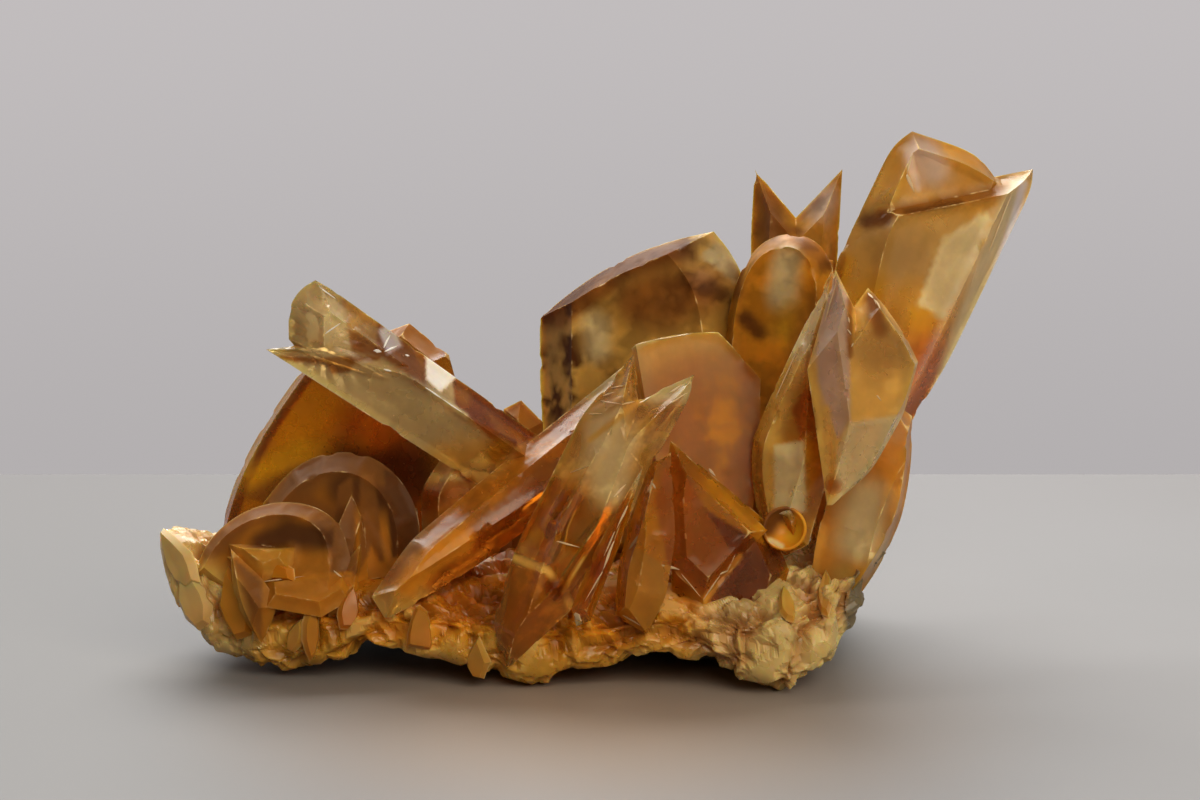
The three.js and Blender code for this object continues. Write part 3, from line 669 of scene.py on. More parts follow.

# %% [markdown]
# ## The crystals
#
# Each crystal has a ground colour, a haze, how clear its stuff is, and strokes for what the photograph
# shows on it. The pale twin at the left has a broken tip with fans and a brown seam, and a painted white
# highlight; the great blade has dust bands and a window face painted paler as a reflection; the blades
# in the middle go from straw at the tips to burnt orange at the roots.

# %% The twins and the great blade
PALE_BODY = (0.89, 0.71, 0.4)
crystals = {
    "crossed_twin": dict(base="sand", haze=0.35, clear=0.88, shine=0.16, depth=130.0, gloss=0.15,
        body=PALE_BODY, fans=[(322, 340, 62, 17, 0.14)], strokes=[
        ("amber", 0.25, 34, 560, 425, 520, 520, 400, 590), ("rust", 0.3, 22, 430, 500, 460, 480),
        ("amber", 0.4, 20, 545, 445, 440, 530), ("orange", 0.2, 16, 540, 500, 430, 590),
        ("straw", 0.45, 18, 378, 606, 415, 600),
        ("sand", 0.5, 0, 268, 354, 345, 372, 378, 358, 506, 452, 462, 480, 440, 480, 300, 385),
        ("sand", 0.6, 0, 268, 354, 345, 374, 400, 410, 385, 432, 300, 380),
        ("straw", 0.4, 20, 440, 462, 490, 456), ("amber", 0.9, 14, 460, 540, 430, 562, 408, 585),
        ("brown", 0.4, 0, 340, 296, 376, 318, 430, 356, 425, 385, 380, 356, 352, 352),
        ("cream", 0.4, 20, 300, 300, 330, 320), ("rust", 0.25, 0, 452, 362, 544, 432, 505, 452, 455, 405),
        # the silver area is a painted reflection on small mirror-like faces
        ("yellow", 0.1, 12, 498, 452), ("silver", 0.5, 0, 378, 330, 392, 322, 402, 346, 388, 354),
        ("olive", 0.4, 0, 345, 300, 378, 318, 376, 345, 350, 330),
        ("brown", 0.6, 3, 272, 357, 322, 361, 378, 358),
        ("brown", 0.5, 0, 320, 357, 358, 356, 350, 372, 332, 374),
        # the white area is a painted highlight on the upper face
        ("white", 1.0, 0, 426, 355, 448, 356, 459, 376, 440, 392, 426, 379),
        ("brown", 0.5, 7, 462, 385, 464, 400), ("cream", 0.5, 3, 430, 392, 466, 416),
    ]),
    "great_blade": dict(base="straw", haze=0.35, clear=0.88, shine=0.22, depth=170.0, gloss=0.1,
        body=PALE_BODY, strokes=[
        ("honey", 0.5, 40, 925, 150, 965, 175), ("lavender", 0.5, 16, 922, 150, 935, 170),
        ("lavender", 0.8, 4, 906, 150, 918, 188), ("olive", 0.6, 14, 876, 285, 864, 330),
        ("olive", 0.5, 30, 880, 240, 930, 280), ("brown", 0.9, 7, 880, 214, 940, 203, 1006, 190),
        ("umber", 0.9, 3, 905, 212, 960, 203), ("umber", 0.5, 8, 866, 222, 886, 218),
        ("yellow", 0.3, 30, 880, 310, 950, 325), ("orange", 0.3, 36, 925, 365, 915, 405),
        ("yellow", 0.1, 8, 846, 262, 842, 280),
        # the cream area is the window face, painted paler as a reflection
        ("cream", 0.5, 0, 992, 212, 948, 238, 922, 305, 944, 322, 972, 268),
        ("cream", 0.6, 3, 985, 215, 945, 240, 920, 305), ("cream", 0.5, 8, 1016, 190, 985, 262, 935, 400),
        ("silver", 0.5, 4, 1024, 184, 1000, 262, 950, 390),
    ]),
    "right_twin": dict(base="straw", haze=0.55, clear=0.85, shine=0.2, depth=120.0, gloss=0.15,
        body=PALE_BODY, fans=[(830, 505, 75, 44, 0.1)], strokes=[
        ("lavender", 0.5, 0, 834, 272, 850, 300, 850, 420, 838, 440, 818, 380, 818, 330),
        ("lavender", 0.5, 10, 826, 350, 838, 410), ("olive", 0.5, 30, 884, 350),
        ("straw", 0.6, 2, 852, 416, 904, 409),
        # the cream area is the lower face, painted paler as a reflection
        ("cream", 0.5, 0, 849, 423, 906, 414, 874, 470, 832, 505, 838, 446),
        ("straw", 0.5, 5, 826, 410, 832, 495), ("brown", 0.6, 3, 850, 300, 850, 356),
        ("brown", 0.6, 8, 872, 300, 880, 330), ("brown", 0.4, 5, 806, 395, 812, 430),
        ("amber", 0.3, 8, 832, 486),
    ]),
}
print("so far:", ", ".join(crystals))

# %% The blades of the front
crystals |= {
    "hollow_blade": dict(base="honey", haze=0.35, clear=0.88, shine=0.2, depth=170.0, gloss=0.12, strokes=[
        ("cream", 0.45, 12, 820, 300, 790, 370), ("straw", 0.45, 14, 790, 370, 768, 440, 762, 510),
        ("cream", 0.5, 0, 774, 445, 804, 440, 806, 512, 774, 516),
        ("orange", 0.3, 0, 792, 410, 806, 388, 815, 396, 812, 430, 800, 440), ("gold", 0.2, 22, 785, 545),
        ("gold", 0.3, 0, 806, 440, 826, 440, 828, 515, 812, 520),
    ]),
    "clear_blade": dict(base="straw", haze=0.18, clear=0.94, shine=0.1, depth=80.0, gloss=0.4,
        body=PALE_BODY, strokes=[
        ("straw", 0.25, 40, 600, 400), ("cream", 0.5, 26, 606, 430, 614, 490),
        ("straw", 0.6, 0, 500, 640, 512, 596, 545, 612, 540, 645, 516, 662),
        ("cream", 0.45, 14, 655, 392, 685, 388), ("gold", 0.1, 24, 560, 500, 540, 530),
        ("gold", 0.2, 26, 545, 590), ("straw", 0.3, 8, 572, 430, 560, 470),
        ("amber", 0.35, 0, 512, 565, 540, 573, 562, 598, 568, 612, 545, 640, 516, 662, 500, 640),
        ("straw", 0.8, 4, 515, 558, 548, 571, 568, 600, 572, 610), ("rust", 0.2, 12, 556, 590),
        ("yellow", 0.15, 5, 530, 536, 556, 538, 580, 550), ("straw", 0.5, 3, 590, 440, 640, 400),
    ]),
    "front_spear": dict(base="gold", haze=0.2, clear=0.92, shine=0.12, depth=130.0, gloss=0.3, strokes=[
        ("cream", 0.5, 18, 645, 475), ("orange", 0.15, 12, 600, 570), ("cream", 0.6, 5, 572, 620, 580, 628),
    ]),
    "orange_wedge": dict(base="gold", haze=0.35, clear=0.88, shine=0.22, depth=220.0, gloss=0.12, strokes=[
        ("amber", 0.3, 30, 680, 470),
        ("orange", 0.35, 0, 672, 450, 700, 500, 745, 560, 735, 575, 705, 602, 668, 566, 655, 500),
        # the rust area is a face painted darker, as painted shade
        ("rust", 0.25, 0, 706, 510, 790, 560, 760, 606, 708, 602, 738, 562),
        ("honey", 0.4, 0, 626, 540, 664, 565, 668, 606, 642, 634, 622, 618),
        ("peach", 0.5, 3, 668, 568, 700, 600), ("peach", 0.5, 3, 704, 600, 724, 577, 740, 556),
        ("yellow", 0.2, 8, 784, 588),
    ]),
    "round_fan": dict(base="honey", haze=0.35, clear=0.9, shine=0.26, depth=220.0, gloss=0.06, strokes=[
        ("straw", 0.5, 34, 660, 345, 700, 335), ("honey", 0.35, 34, 700, 390),
        ("gold", 0.3, 60, 705, 440, 735, 490), ("amber", 0.4, 14, 752, 370, 758, 440),
        ("cream", 0.5, 3, 632, 347, 665, 332, 700, 327),
    ]),
}
print("so far:", len(crystals))

# %% The rosette and the slab at the left
crystals |= {
    "left_rosette": dict(base="amber", haze=0.35, clear=0.55, shine=0.45, gloss=0.0, strokes=[
        ("brown", 0.2, 18, 290, 500, 310, 468, 350, 455, 395, 462, 425, 500),
        ("umber", 0.3, 20, 345, 490, 400, 500), ("brown", 0.4, 12, 200, 560, 250, 515, 300, 503, 340, 520),
        ("umber", 0.3, 14, 262, 545, 290, 532, 335, 540),
        ("honey", 0.3, 0, 232, 548, 296, 549, 286, 576, 266, 574),
        ("brown", 0.3, 0, 338, 486, 352, 476, 358, 575, 330, 577),
        ("brown", 0.3, 0, 360, 476, 374, 474, 384, 560, 360, 575),
        ("amber", 0.4, 0, 372, 545, 384, 572, 372, 590, 352, 590),
        ("amber", 0.5, 2, 264, 584, 300, 578, 352, 573),
        ("brown", 0.4, 0, 232, 556, 262, 582, 262, 640, 246, 618),
        ("umber", 0.3, 0, 384, 470, 420, 480, 420, 545, 392, 560), ("straw", 0.5, 20, 210, 580, 225, 620),
    ]),
    "left_slab": dict(base="amber", haze=0.2, clear=0.9, shine=0.22, gloss=0.08, depth=300.0, strokes=[
        ("gold", 0.2, 40, 300, 430),
        ("brown", 0.25, 0, 310, 460, 372, 452, 440, 480, 400, 520, 250, 500, 238, 486),
        ("straw", 0.4, 5, 215, 520, 242, 470, 262, 430, 300, 372),
        ("yellow", 0.3, 12, 246, 478, 300, 452, 370, 446), ("brown", 0.4, 16, 415, 335),
        ("umber", 0.2, 26, 350, 468, 420, 470), ("brown", 0.9, 14, 395, 330, 430, 345),
        ("gold", 0.2, 20, 380, 430),
    ]),
}
print("so far:", len(crystals))

# %% The crystals of the back
crystals |= {
    "mottled_blade": dict(base="gold", haze=0.35, clear=0.66, shine=0.3, gloss=0.06, mottle=1.0, strokes=[
        ("umber", 0.9, 11, 738, 262, 734, 292), ("umber", 0.9, 8, 744, 318, 760, 332),
        ("umber", 0.8, 10, 748, 238, 775, 230), ("brown", 0.8, 14, 800, 236, 826, 262),
        ("cream", 0.3, 15, 786, 262, 782, 296), ("yellow", 0.3, 22, 795, 330),
        ("amber", 0.3, 16, 820, 300, 800, 360),
    ]),
    "back_lens": dict(base="straw", haze=0.4, clear=0.62, shine=0.3, gloss=0.06, mottle=1.0, strokes=[
        ("olive", 0.5, 26, 556, 340), ("umber", 0.8, 16, 548, 312, 600, 272, 680, 250),
        ("brown", 0.6, 30, 640, 300, 700, 290), ("brown", 0.6, 8, 560, 320, 610, 285),
        ("cream", 0.5, 14, 596, 325, 596, 350), ("brown", 0.5, 20, 670, 300),
        ("cream", 0.35, 0, 700, 255, 716, 240, 742, 262, 736, 284),
    ]),
    "back_twin": dict(base="honey", haze=0.5, clear=0.85, shine=0.3, depth=200.0, gloss=0.06,
        body=PALE_BODY, mottle=0.6, strokes=[
        ("brown", 0.6, 16, 768, 200, 775, 235), ("lavender", 0.5, 20, 820, 200),
        ("brown", 0.6, 5, 760, 225, 800, 232),
    ]),
    "orange_flank": dict(base="peach", haze=0.45, clear=0.88, shine=0.28, depth=110.0, gloss=0.1, strokes=[
        ("rose", 0.45, 16, 898, 430), ("gold", 0.3, 14, 872, 480, 880, 520),
        ("cream", 0.5, 24, 866, 500, 860, 540), ("straw", 0.45, 12, 845, 575),
    ]),
    "rear_bump": dict(base="brown", haze=0.7, clear=0.85, gloss=0.08, strokes=[
        ("brown", 0.4, 8, 510, 425),
    ]),
    "rear_left_fan": dict(base="honey", haze=0.3, clear=0.88, gloss=0.12, strokes=[]),
    "rear_middle_blade": dict(base="amber", haze=0.3, clear=0.88, gloss=0.12, mottle=0.2, strokes=[]),
    "rear_right_twin": dict(base="honey", haze=0.35, clear=0.88, gloss=0.12, mottle=0.2, strokes=[]),
    "rear_corner_blade": dict(base="orange", haze=0.35, clear=0.86, gloss=0.12, strokes=[]),
}
print(sum(len(look["strokes"]) for look in crystals.values()), "strokes on", len(crystals), "crystals")

# %% Growing them
FRONT_SPACING = 0.34
USUAL_SPACING = 0.6
SHARP_ANGLE = 13
ROUND_SHARP_ANGLE = 26
front_row = (
    "clear_blade", "front_spear", "right_twin", "hollow_blade", "orange_wedge", "left_rosette",
    "crossed_twin",
)


def stand_for(piece, node):
    """Let a piece take the place of a solid, with its body."""
    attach(piece, "root")
    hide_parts(node)


grown = {}
for seed, (node, look) in enumerate(crystals.items()):
    is_round = node in round_crystals
    spacing = FRONT_SPACING if node in front_row else USUAL_SPACING
    points, triangles, directions, rim = fine_crystal(node, spacing)
    points, on_edge = evened(points, triangles, directions, *(ROUND if is_round else STRAIGHT))
    rim = np.where((rim == 0) & ~on_edge, spacing, rim)
    out = directions_of(points, triangles)
    points = with_relief(points, out, rim, 40 + 10 * seed)
    points = with_fans(points, out, rim, look.get("fans", ()))
    paint = painted(points, look["base"], look["haze"], look["strokes"], seed, look.get("mottle", 0))
    sharp = ROUND_SHARP_ANGLE if is_round else SHARP_ANGLE
    blade = new_object("grown_" + node, points, triangles, {"paint": paint, "rim": rim}, sharp)
    optics = {key: look[key] for key in ("clear", "shine", "depth", "gloss", "body") if key in look}
    blade.data.materials.append(crystal_material(node + "_crystal", long_way(points), **optics))
    stand_for(blade, node)
    grown[node] = (points, directions_of(points, triangles))
print(len(grown), "crystals,", sum(len(points) for points, _ in grown.values()), "points")

# %% [markdown]
# ## The crust and the rock
#
# All crystals stand on one crust of intergrown small crystals, and the crust grew on a thin skin of grey
# rock. Both are uneven rolls. A displaced block couldn't follow the photograph's wavy lower edge. So each
# is a surface of two parameters: one runs along the roll and picks a section, the other runs round that
# section. The sections are those of the construction model, so the crystals' roots stay buried in it.

# %% Sections of the two rolls
ORIGIN = np.array([-0.463, -16.282, 0.5])  # the drawing's origin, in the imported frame

# x, front edge, back edge, lowest and highest point
crust_sections = np.array([
    [-49, 3, 8, 11, 14.5], [-46.5, 0, 13, 5, 14], [-42, -3, 19, 0.6, 12.5], [-36, -5, 24, -1.4, 11],
    [-30, -6, 27, -0.2, 10.5], [-24, -7, 29, 2.2, 10.5], [-18, -8, 30, 1, 10.5], [-13, -9, 31, -0.4, 10.5],
    [-7, -10, 32, -1.7, 10.5], [0, -10, 33, 0.4, 10.5], [5, -10.5, 33, 2, 11], [11, -11, 33, 1.4, 11],
    [15, -12.5, 33, -0.6, 11.5], [20, -13, 33, -2.2, 12], [24, -11, 32, 0, 12.5], [27, -7, 31, 4, 14],
    [30.5, -2, 28, 9.5, 17], [33, 4, 24, 15, 19.5],
])
rock_sections = np.array([
    [-38, 8, 20, 3.5, 6.5], [-32, 5, 25, 1, 7], [-22, 3, 29, 0.6, 6.5], [-12, 1, 34.5, -1.6, 6.5],
    [0, 1, 35, 0.8, 6.5], [14, 0, 35.5, -1.6, 7], [24, -1, 34, 1.2, 8.5], [28.5, 1, 31, 5.5, 12],
    [32.5, 6, 26, 11.5, 15],
])
print(len(crust_sections), "sections of the crust,", len(rock_sections), "of the rock")

# %% A point on a roll
TOP_SQUARENESS = 0.75
BOTTOM_SQUARENESS = 0.5
CRUST_LIFT = 4.0


def roll_point(sections, lift, x, angle, size=1.0):
    """A point on a roll at x and at an angle round it: 0 is at the back, a half turn in front. Between
    two sections their sizes are eased. Depth and height follow the cosine and sine, each raised to a
    power below 1, which makes the section squarer. The underside rises by the lift towards the back."""
    row = np.clip(np.searchsorted(sections[:, 0], x, side="left"), 1, len(sections) - 1)
    before, after = sections[row - 1], sections[row]
    share = eased(x, before[..., 0], after[..., 0])[..., None]
    front, back, low, high = np.moveaxis(before + (after - before) * share, -1, 0)[1:]
    cosine, sine = np.cos(angle), np.sin(angle)
    power = np.where(sine < 0, BOTTOM_SQUARENESS, TOP_SQUARENESS)
    depth = size * np.sign(cosine) * np.abs(cosine) ** power
    up = size * np.sign(sine) * np.abs(sine) ** power
    y = (front + back) / 2 + (back - front) / 2 * depth
    z = (low + high) / 2 + (high - low) / 2 * up + lift * np.maximum(-up, 0) * (0.5 + 0.5 * depth)
    return np.stack([x, y, z], -1) + ORIGIN

# %% A closed grid round a roll
def grid_triangles(rings, around):
    """Two triangles for each cell of a grid that closes on itself round each ring, and a fan to a pole at
    each end. The poles are the last two points."""
    i, j = np.meshgrid(np.arange(rings - 1), np.arange(around), indexing="ij")
    a, b = i * around + j, i * around + (j + 1) % around
    c, d = b + around, a + around
    cells = np.concatenate([np.stack(corners, -1).reshape(-1, 3) for corners in ((a, b, c), (a, c, d))])
    ring = np.arange(around)
    following = (ring + 1) % around
    pole = np.full(around, rings * around)
    last = (rings - 1) * around
    ends = [np.stack([pole, following, ring], -1), np.stack([pole + 1, last + ring, last + following], -1)]
    return np.concatenate([cells, *ends])

# %% A roll
END_ROUND = 1.2


def roll(sections, lift, rings, around):
    """The whole skin of a roll, with the size of the section drawn in along a quarter circle at both
    ends."""
    first, last = sections[0, 0], sections[-1, 0]
    x = first + (last - first) * np.arange(1, rings + 1) / (rings + 1)
    from_end = np.minimum(np.minimum(x - first, last - x) / END_ROUND, 1)
    size = np.sqrt(1 - (1 - from_end) ** 2)
    angle = 2 * np.pi * np.arange(around) / around
    grid = roll_point(sections, lift, *np.meshgrid(x, angle, indexing="ij"), size[:, None])
    poles = roll_point(sections, lift, np.array([first, last]), np.zeros(2), 0.0)
    return np.concatenate([grid.reshape(-1, 3), poles]), grid_triangles(rings, around)

# %% Intergrown points
PEAK_SLOPE = 0.9


def peaks(points, size, seed):
    """The height of a skin of intergrown crystals with flat faces, and a number of chance for the crystal
    that each point is on. Each lattice cell holds one crystal, at a random place, of a random height and
    turned by chance. With u, v and w its long, middle and short way, its faces fall by a slope times (0.4
    |u| + 0.9 |v| + 1.6 |w|) from its point, and the highest crystal is the skin."""
    home = np.floor(points / size).astype(np.int64)
    highest = np.full(len(points), -9.0)
    whose = np.zeros(len(points))
    for step in np.ndindex(3, 3, 3):
        cell = home + np.array(step) - 1
        chance = np.stack([random_at(cell, seed + i) for i in range(11)], 1)
        away = points / size - cell - chance[:, :3]
        u = unit(chance[:, 3:6] - 0.5)
        v = unit(np.cross(u, chance[:, 6:9] - 0.5))
        w = np.cross(u, v)
        fall = sum(share * np.abs((away * way).sum(1)) for share, way in ((0.4, u), (0.9, v), (1.6, w)))
        height = chance[:, 9] - PEAK_SLOPE * fall
        whose = np.where(height > highest, chance[:, 10], whose)
        highest = np.maximum(highest, height)
    return highest, whose

# %% Into the surface
FLOOR_LEVEL = 0.0
LOWEST = np.array(cad_box[0]) / MM + 0.03
HIGHEST = np.array(cad_box[1]) / MM - 0.03


def lowered(points, triangles, depth):
    """Points moved inwards by a depth, kept above the table and within the box of the construction
    model."""
    points = points - directions_of(points, triangles) * depth[:, None]
    return np.clip(points, [*LOWEST[:2], FLOOR_LEVEL], HIGHEST)

# %% The crust
# size of the crystals, depth, share of the shade, seed
CRUST_LAYERS = ((4.4, 2.0, 0.5, 20), (2.2, 1.1, 0.3, 25), (1.0, 0.35, 0.2, 30))
CRUST_GRID = (325, 300)
crust_points, crust_triangles = roll(crust_sections, CRUST_LIFT, *CRUST_GRID)
crust_depth, crust_chance = 0, 0
for size, deep, share, seed in CRUST_LAYERS:
    height, chance = peaks(crust_points, size, seed)
    crust_depth = crust_depth + deep * (1 - height)
    crust_chance = crust_chance + share * chance
crust_depth = np.maximum(crust_depth - np.quantile(crust_depth, 0.12), 0)
crust_depth *= 0.3 + 0.7 * eased(crust_points[:, 0], -49, -40)
crust_points = lowered(crust_points, crust_triangles, crust_depth)
crust_height = 1 - eased(crust_depth, 0.1, 1.8)
print("crust:", len(crust_triangles), "triangles, up to", round(crust_depth.max(), 2), "mm deep")

# %% The rock
ROCK_GRID = (300, 130)
rock_points, rock_triangles = roll(rock_sections, 0.0, *ROCK_GRID)
rock_depth = 0.9 * (0.5 - 0.5 * rough_noise(rock_points, 4, 4, 31))
rock_depth += 0.35 * (1 - eased(grains(rock_points, 2.2, 33), 0, 0.5))
rock_points = lowered(rock_points, rock_triangles, rock_depth)
rock = new_object("rock_skin", rock_points, rock_triangles, {"hollow": rock_depth}, 35)
print("rock:", len(rock_triangles), "triangles")

# %% [markdown]
# ## The small crystals
#
# Blades of 4 to 8 millimetres stand out along the front edge, each where the photograph shows it.
# Sculpting them one by one would give the same. Here one blade is a small table of corners, and all of a
# kind are made at once: every corner of every blade is a sum of three directions, in one array.

# %% One small crystal, as shares of its length, width and thickness
def plate_template(outline, inset):
    """A flat crystal. The outline is pairs of across and along, from -0.5 to 0.5, counterclockwise. It is
    the rim, at half the thickness, and either face is the same outline drawn in."""
    count = len(outline)
    rim = np.insert(np.array(outline, float), 1, 0, axis=1)
    front = rim * [inset[0], 1, inset[1]] - [0, 0.5, 0]
    ring = np.arange(count)
    following = (ring + 1) % count
    skirt = [[ring, following, count + following], [ring, count + following, count + ring]]
    under = [[following, ring, 2 * count + ring], [following, 2 * count + ring, 2 * count + following]]
    fan = count + np.arange(1, count - 1)
    first = np.full(count - 2, count)
    caps = [[first, fan, fan + 1], [first + count, fan + 1 + count, fan + count]]
    triangles = np.concatenate([np.stack(rows, 1) for rows in skirt + under + caps])
    return np.concatenate([rim, front, front * [1, -1, 1]]), triangles

# %% Three outlines
lens = plate_template([
    (0.02, -0.5), (0.3, -0.36), (0.48, -0.12), (0.46, 0.16), (0.24, 0.38), (-0.04, 0.5), (-0.3, 0.34),
    (-0.49, 0.1), (-0.47, -0.16), (-0.24, -0.38),
], (0.6, 0.78))
shard = plate_template([
    (-0.2, -0.5), (0.24, -0.5), (0.44, -0.24), (0.5, -0.05), (0.3, 0.26), (0.04, 0.5), (-0.22, 0.3),
    (-0.46, 0.02), (-0.44, -0.24),
], (0.66, 0.84))
half_turn = np.pi * np.arange(11) / 10
bow = [*zip(0.5 * np.cos(half_turn), 0.9 * np.sin(half_turn) - 0.4)]
arch = plate_template([*bow, (-0.4, -0.5), (0.4, -0.5)], (0.8, 0.84))
print("corners:", [len(template[0]) for template in (lens, shard, arch)])

# %% Many at once
scatter = np.random.default_rng(7)


def swarm(template, middles, along, look, sizes, bend, uneven):
    """Copies of a template, one for each middle, of a width, thickness and length. A corner is the middle
    plus its share of the length along, of the width across and of the thickness towards the look, and a
    bend moves it back by the share squared. Each copy's outline is uneven: every corner of it is nearer
    or farther by chance."""
    corners, triangles = template
    along = unit(along)
    look = unit(look - (look * along).sum(1)[:, None] * along)
    across = np.cross(along, look)
    shares = corners[None] * sizes[:, None]
    outline = 1 + uneven * scatter.uniform(-1, 0.3, (len(middles), len(corners) // 3, 1))
    shares[..., [0, 2]] *= np.tile(outline, (1, 3, 1))
    droop = bend * sizes[:, 2:] * (corners[None, :, 2] ** 2 + 0.6 * corners[None, :, 0] ** 2)
    points = middles[:, None] + shares[..., :1] * across[:, None] + shares[..., 2:] * along[:, None]
    points = points - (shares[..., 1:2] + droop[..., None]) * look[:, None]
    offsets = np.arange(len(middles))[:, None, None] * len(corners)
    points = np.clip(points.reshape(-1, 3), LOWEST, HIGHEST)
    return points, (triangles[None] + offsets).reshape(-1, 3)

# %% Edge crystals
EDGE_BEND = 0.1
EDGE_UNEVEN = 0.15
EDGE_HAZE = 0.25


def blend(colours, name, share):
    """Colours moved by a share towards one of the palette."""
    return colours + (surface_colour(name, THIN_LIFT) - colours) * share


def edge_crystals(kind, template, middles, along, look, sizes, names):
    """A swarm as an object. Each copy has one shade of its own colour, and is paler along its rim and
    deeper at its foot."""
    points, triangles = swarm(template, middles, along, look, sizes, EDGE_BEND, EDGE_UNEVEN)
    corners = template[0]
    shade = scatter.uniform(0.85, 1.15, (len(middles), 1))
    ground = np.array([surface_colour(name, THIN_LIFT) for name in names])
    on_rim = (corners[:, 1] == 0)[None, :, None]
    foot = 1 - eased(corners[:, 2], -0.5, 0.2)[None, :, None]
    colours = blend(np.minimum(ground * shade, 0.92)[:, None], "orange", foot * 0.35)
    colours = blend(colours, "cream", on_rim * (1 - foot) * 0.2)
    hazes = EDGE_HAZE + 0.2 * on_rim + 0 * colours[..., :1]
    paint = np.concatenate([colours, hazes], 2).reshape(-1, 4)
    rim = (corners[:, 1] != 0)[None, :] * sizes[:, :1] * 0.25
    return new_object("edge_" + kind, points, triangles, {"paint": paint, "rim": rim.ravel()}, 25)

# %% The crust's colours, darkened towards rust in its hollows as painted shade, and cream on its points as painted highlights
high = eased(crust_points[:, 2] + 2.5 * noise(crust_points, 5, 90), 3, 9)
right_foot = eased(crust_points[:, 0] + 2 * noise(crust_points, 5, 91), 9, 14)
right_foot *= eased(-crust_points[:, 2], -18, -12)
left_end = eased(-crust_points[:, 0] + 3 * noise(crust_points, 5, 93), 36, 42)
patches = high * eased(noise(crust_points, 5, 92), -0.1, 0.5)
crust_colours = np.tile(surface_colour("yellow", THIN_LIFT), (len(crust_points), 1))
for name, share in (
    ("straw", 0.7 * (1 - high)), ("gold", 0.8 * high), ("orange", 0.6 * patches),
    ("cream", 0.9 * right_foot), ("cream", 0.7 * left_end),
):
    crust_colours = blend(crust_colours, name, share[:, None])
crust_colours *= (0.75 + 0.5 * crust_chance)[:, None]
# painted shade: the hollows go towards rust by their depth
crust_colours = blend(crust_colours, "rust", 0.75 * (1 - crust_height)[:, None])
# painted highlights: cream on the highest points of some of the small crystals
on_points = eased(crust_height, 0.7, 1) * eased(crust_chance, 0.4, 0.8)
crust_colours = blend(crust_colours, "cream", 0.5 * on_points[:, None])
crust_colours /= np.maximum(1, crust_colours.max(1) / 0.9)[:, None]
crust_paint = np.concatenate([crust_colours, 0.2 + 0.5 * crust_chance[:, None]], 1)

# %% Rock that shows at the right foot
bare_rock = np.array([(842, 632), (846, 590), (862, 556), (884, 548), (902, 500), (930, 500), (900, 640)])
crust_pixels = pixels_of(crust_points)
from_rock = stroke_distance(crust_pixels, [*bare_rock.ravel(), *bare_rock[0]])
from_rock = np.where(within_outline(crust_pixels, bare_rock), from_rock, -from_rock)
share = eased(from_rock + 5 * rough_noise(crust_points, 2, 3, 95), -4, 4)
rock_paint = [*(linear(SEEN["stone"]) * (1.1, 1.15, 1.2)), 1.0]
crust_paint += (rock_paint - crust_paint) * share[:, None]
crust_looks = {"paint": crust_paint, "rim": 1 + 0 * crust_height}
crust = new_object("sugary_crust", crust_points, crust_triangles, crust_looks, 16)
print("bare rock on", int((share > 0.5).sum()), "points")

# %% From a pixel to a place
def place_at(pixels, depths):
    """The point that the photograph shows at a pixel and at a distance from the camera along its view."""
    aside, above = (pixels[:, 0] - PHOTO[0] / 2) / FOCAL, (PHOTO[1] / 2 - pixels[:, 1]) / FOCAL
    return camera_place + depths[:, None] * (forward + aside[:, None] * [1, 0, 0] + above[:, None] * upward)

# %% How far away the front is
NEAR_HEIGHT = 24
NEAR_PIXELS = 5
front_side = [(crust_points, directions_of(crust_points, crust_triangles)), *grown.values()]
near_points, near_out = [np.concatenate(arrays) for arrays in zip(*front_side)]
shown = ((near_out * (near_points - camera_place)).sum(1) < 0) & (near_points[:, 2] < NEAR_HEIGHT)
near_pixels, near_depths = pixels_of(near_points[shown]), (near_points[shown] - camera_place) @ forward


def depth_at(place):
    """How far away the nearest surface is at a pixel."""
    apart = np.linalg.norm(near_pixels - place, axis=1)
    return near_depths[apart < apart.min() + NEAR_PIXELS].min()

# %% The crystals of the front edge, where the photograph shows each one
front_edge = [  # kind, foot and tip in pixels, width in pixels, how far out in millimetres, turn, colour
    ("shard", 196, 590, 162, 530, 36, 0.2, -35, "cream"),
    ("shard", 205, 632, 182, 560, 40, -0.2, -25, "cream"),
    ("shard", 244, 640, 226, 566, 44, 0.0, -20, "honey"),
    ("shard", 296, 576, 226, 558, 30, 0.1, -10, "gold"), ("lens", 310, 664, 312, 594, 20, 0.3, 25, "honey"),
    ("shard", 290, 652, 302, 616, 20, 0.0, -15, "straw"),
    ("shard", 345, 630, 352, 585, 26, -0.2, 20, "amber"),
    ("arch", 420, 650, 420, 604, 26, 0.3, 10, "honey"),
    ("shard", 478, 680, 478, 636, 28, 0.0, -20, "straw"),
    ("shard", 824, 616, 826, 566, 18, 0.0, -10, "straw"),
    ("shard", 790, 622, 782, 584, 20, 0.0, 10, "straw"),
]
LEAN = 1.5  # a tip is at most this much nearer than its foot
edge_pieces = []
for kind, template in {"lens": lens, "shard": shard, "arch": arch}.items():
    chosen = [row for row in front_edge if row[0] == kind]
    rows = np.array([row[1:8] for row in chosen], float)
    foot_depth, tip_depth = [np.array([depth_at(place) for place in rows[:, i:i + 2]]) for i in (0, 2)]
    foot = place_at(rows[:, :2], foot_depth - rows[:, 5])
    tip = place_at(rows[:, 2:4], np.maximum(tip_depth, foot_depth - LEAN) - rows[:, 5])
    turn = np.radians(rows[:, 6])
    facing = np.stack([np.sin(turn), -np.cos(turn), 0.25 + 0 * turn], 1)
    wide = rows[:, 4] * foot_depth / FOCAL
    sizes = np.stack([wide, 0.5 + 0.3 * wide, np.linalg.norm(tip - foot, axis=1)], 1)
    names = [row[8] for row in chosen]
    edge_pieces.append(edge_crystals(kind, template, (foot + tip) / 2, tip - foot, facing, sizes, names))
print(len(front_edge), "blades in", len(edge_pieces), "pieces")

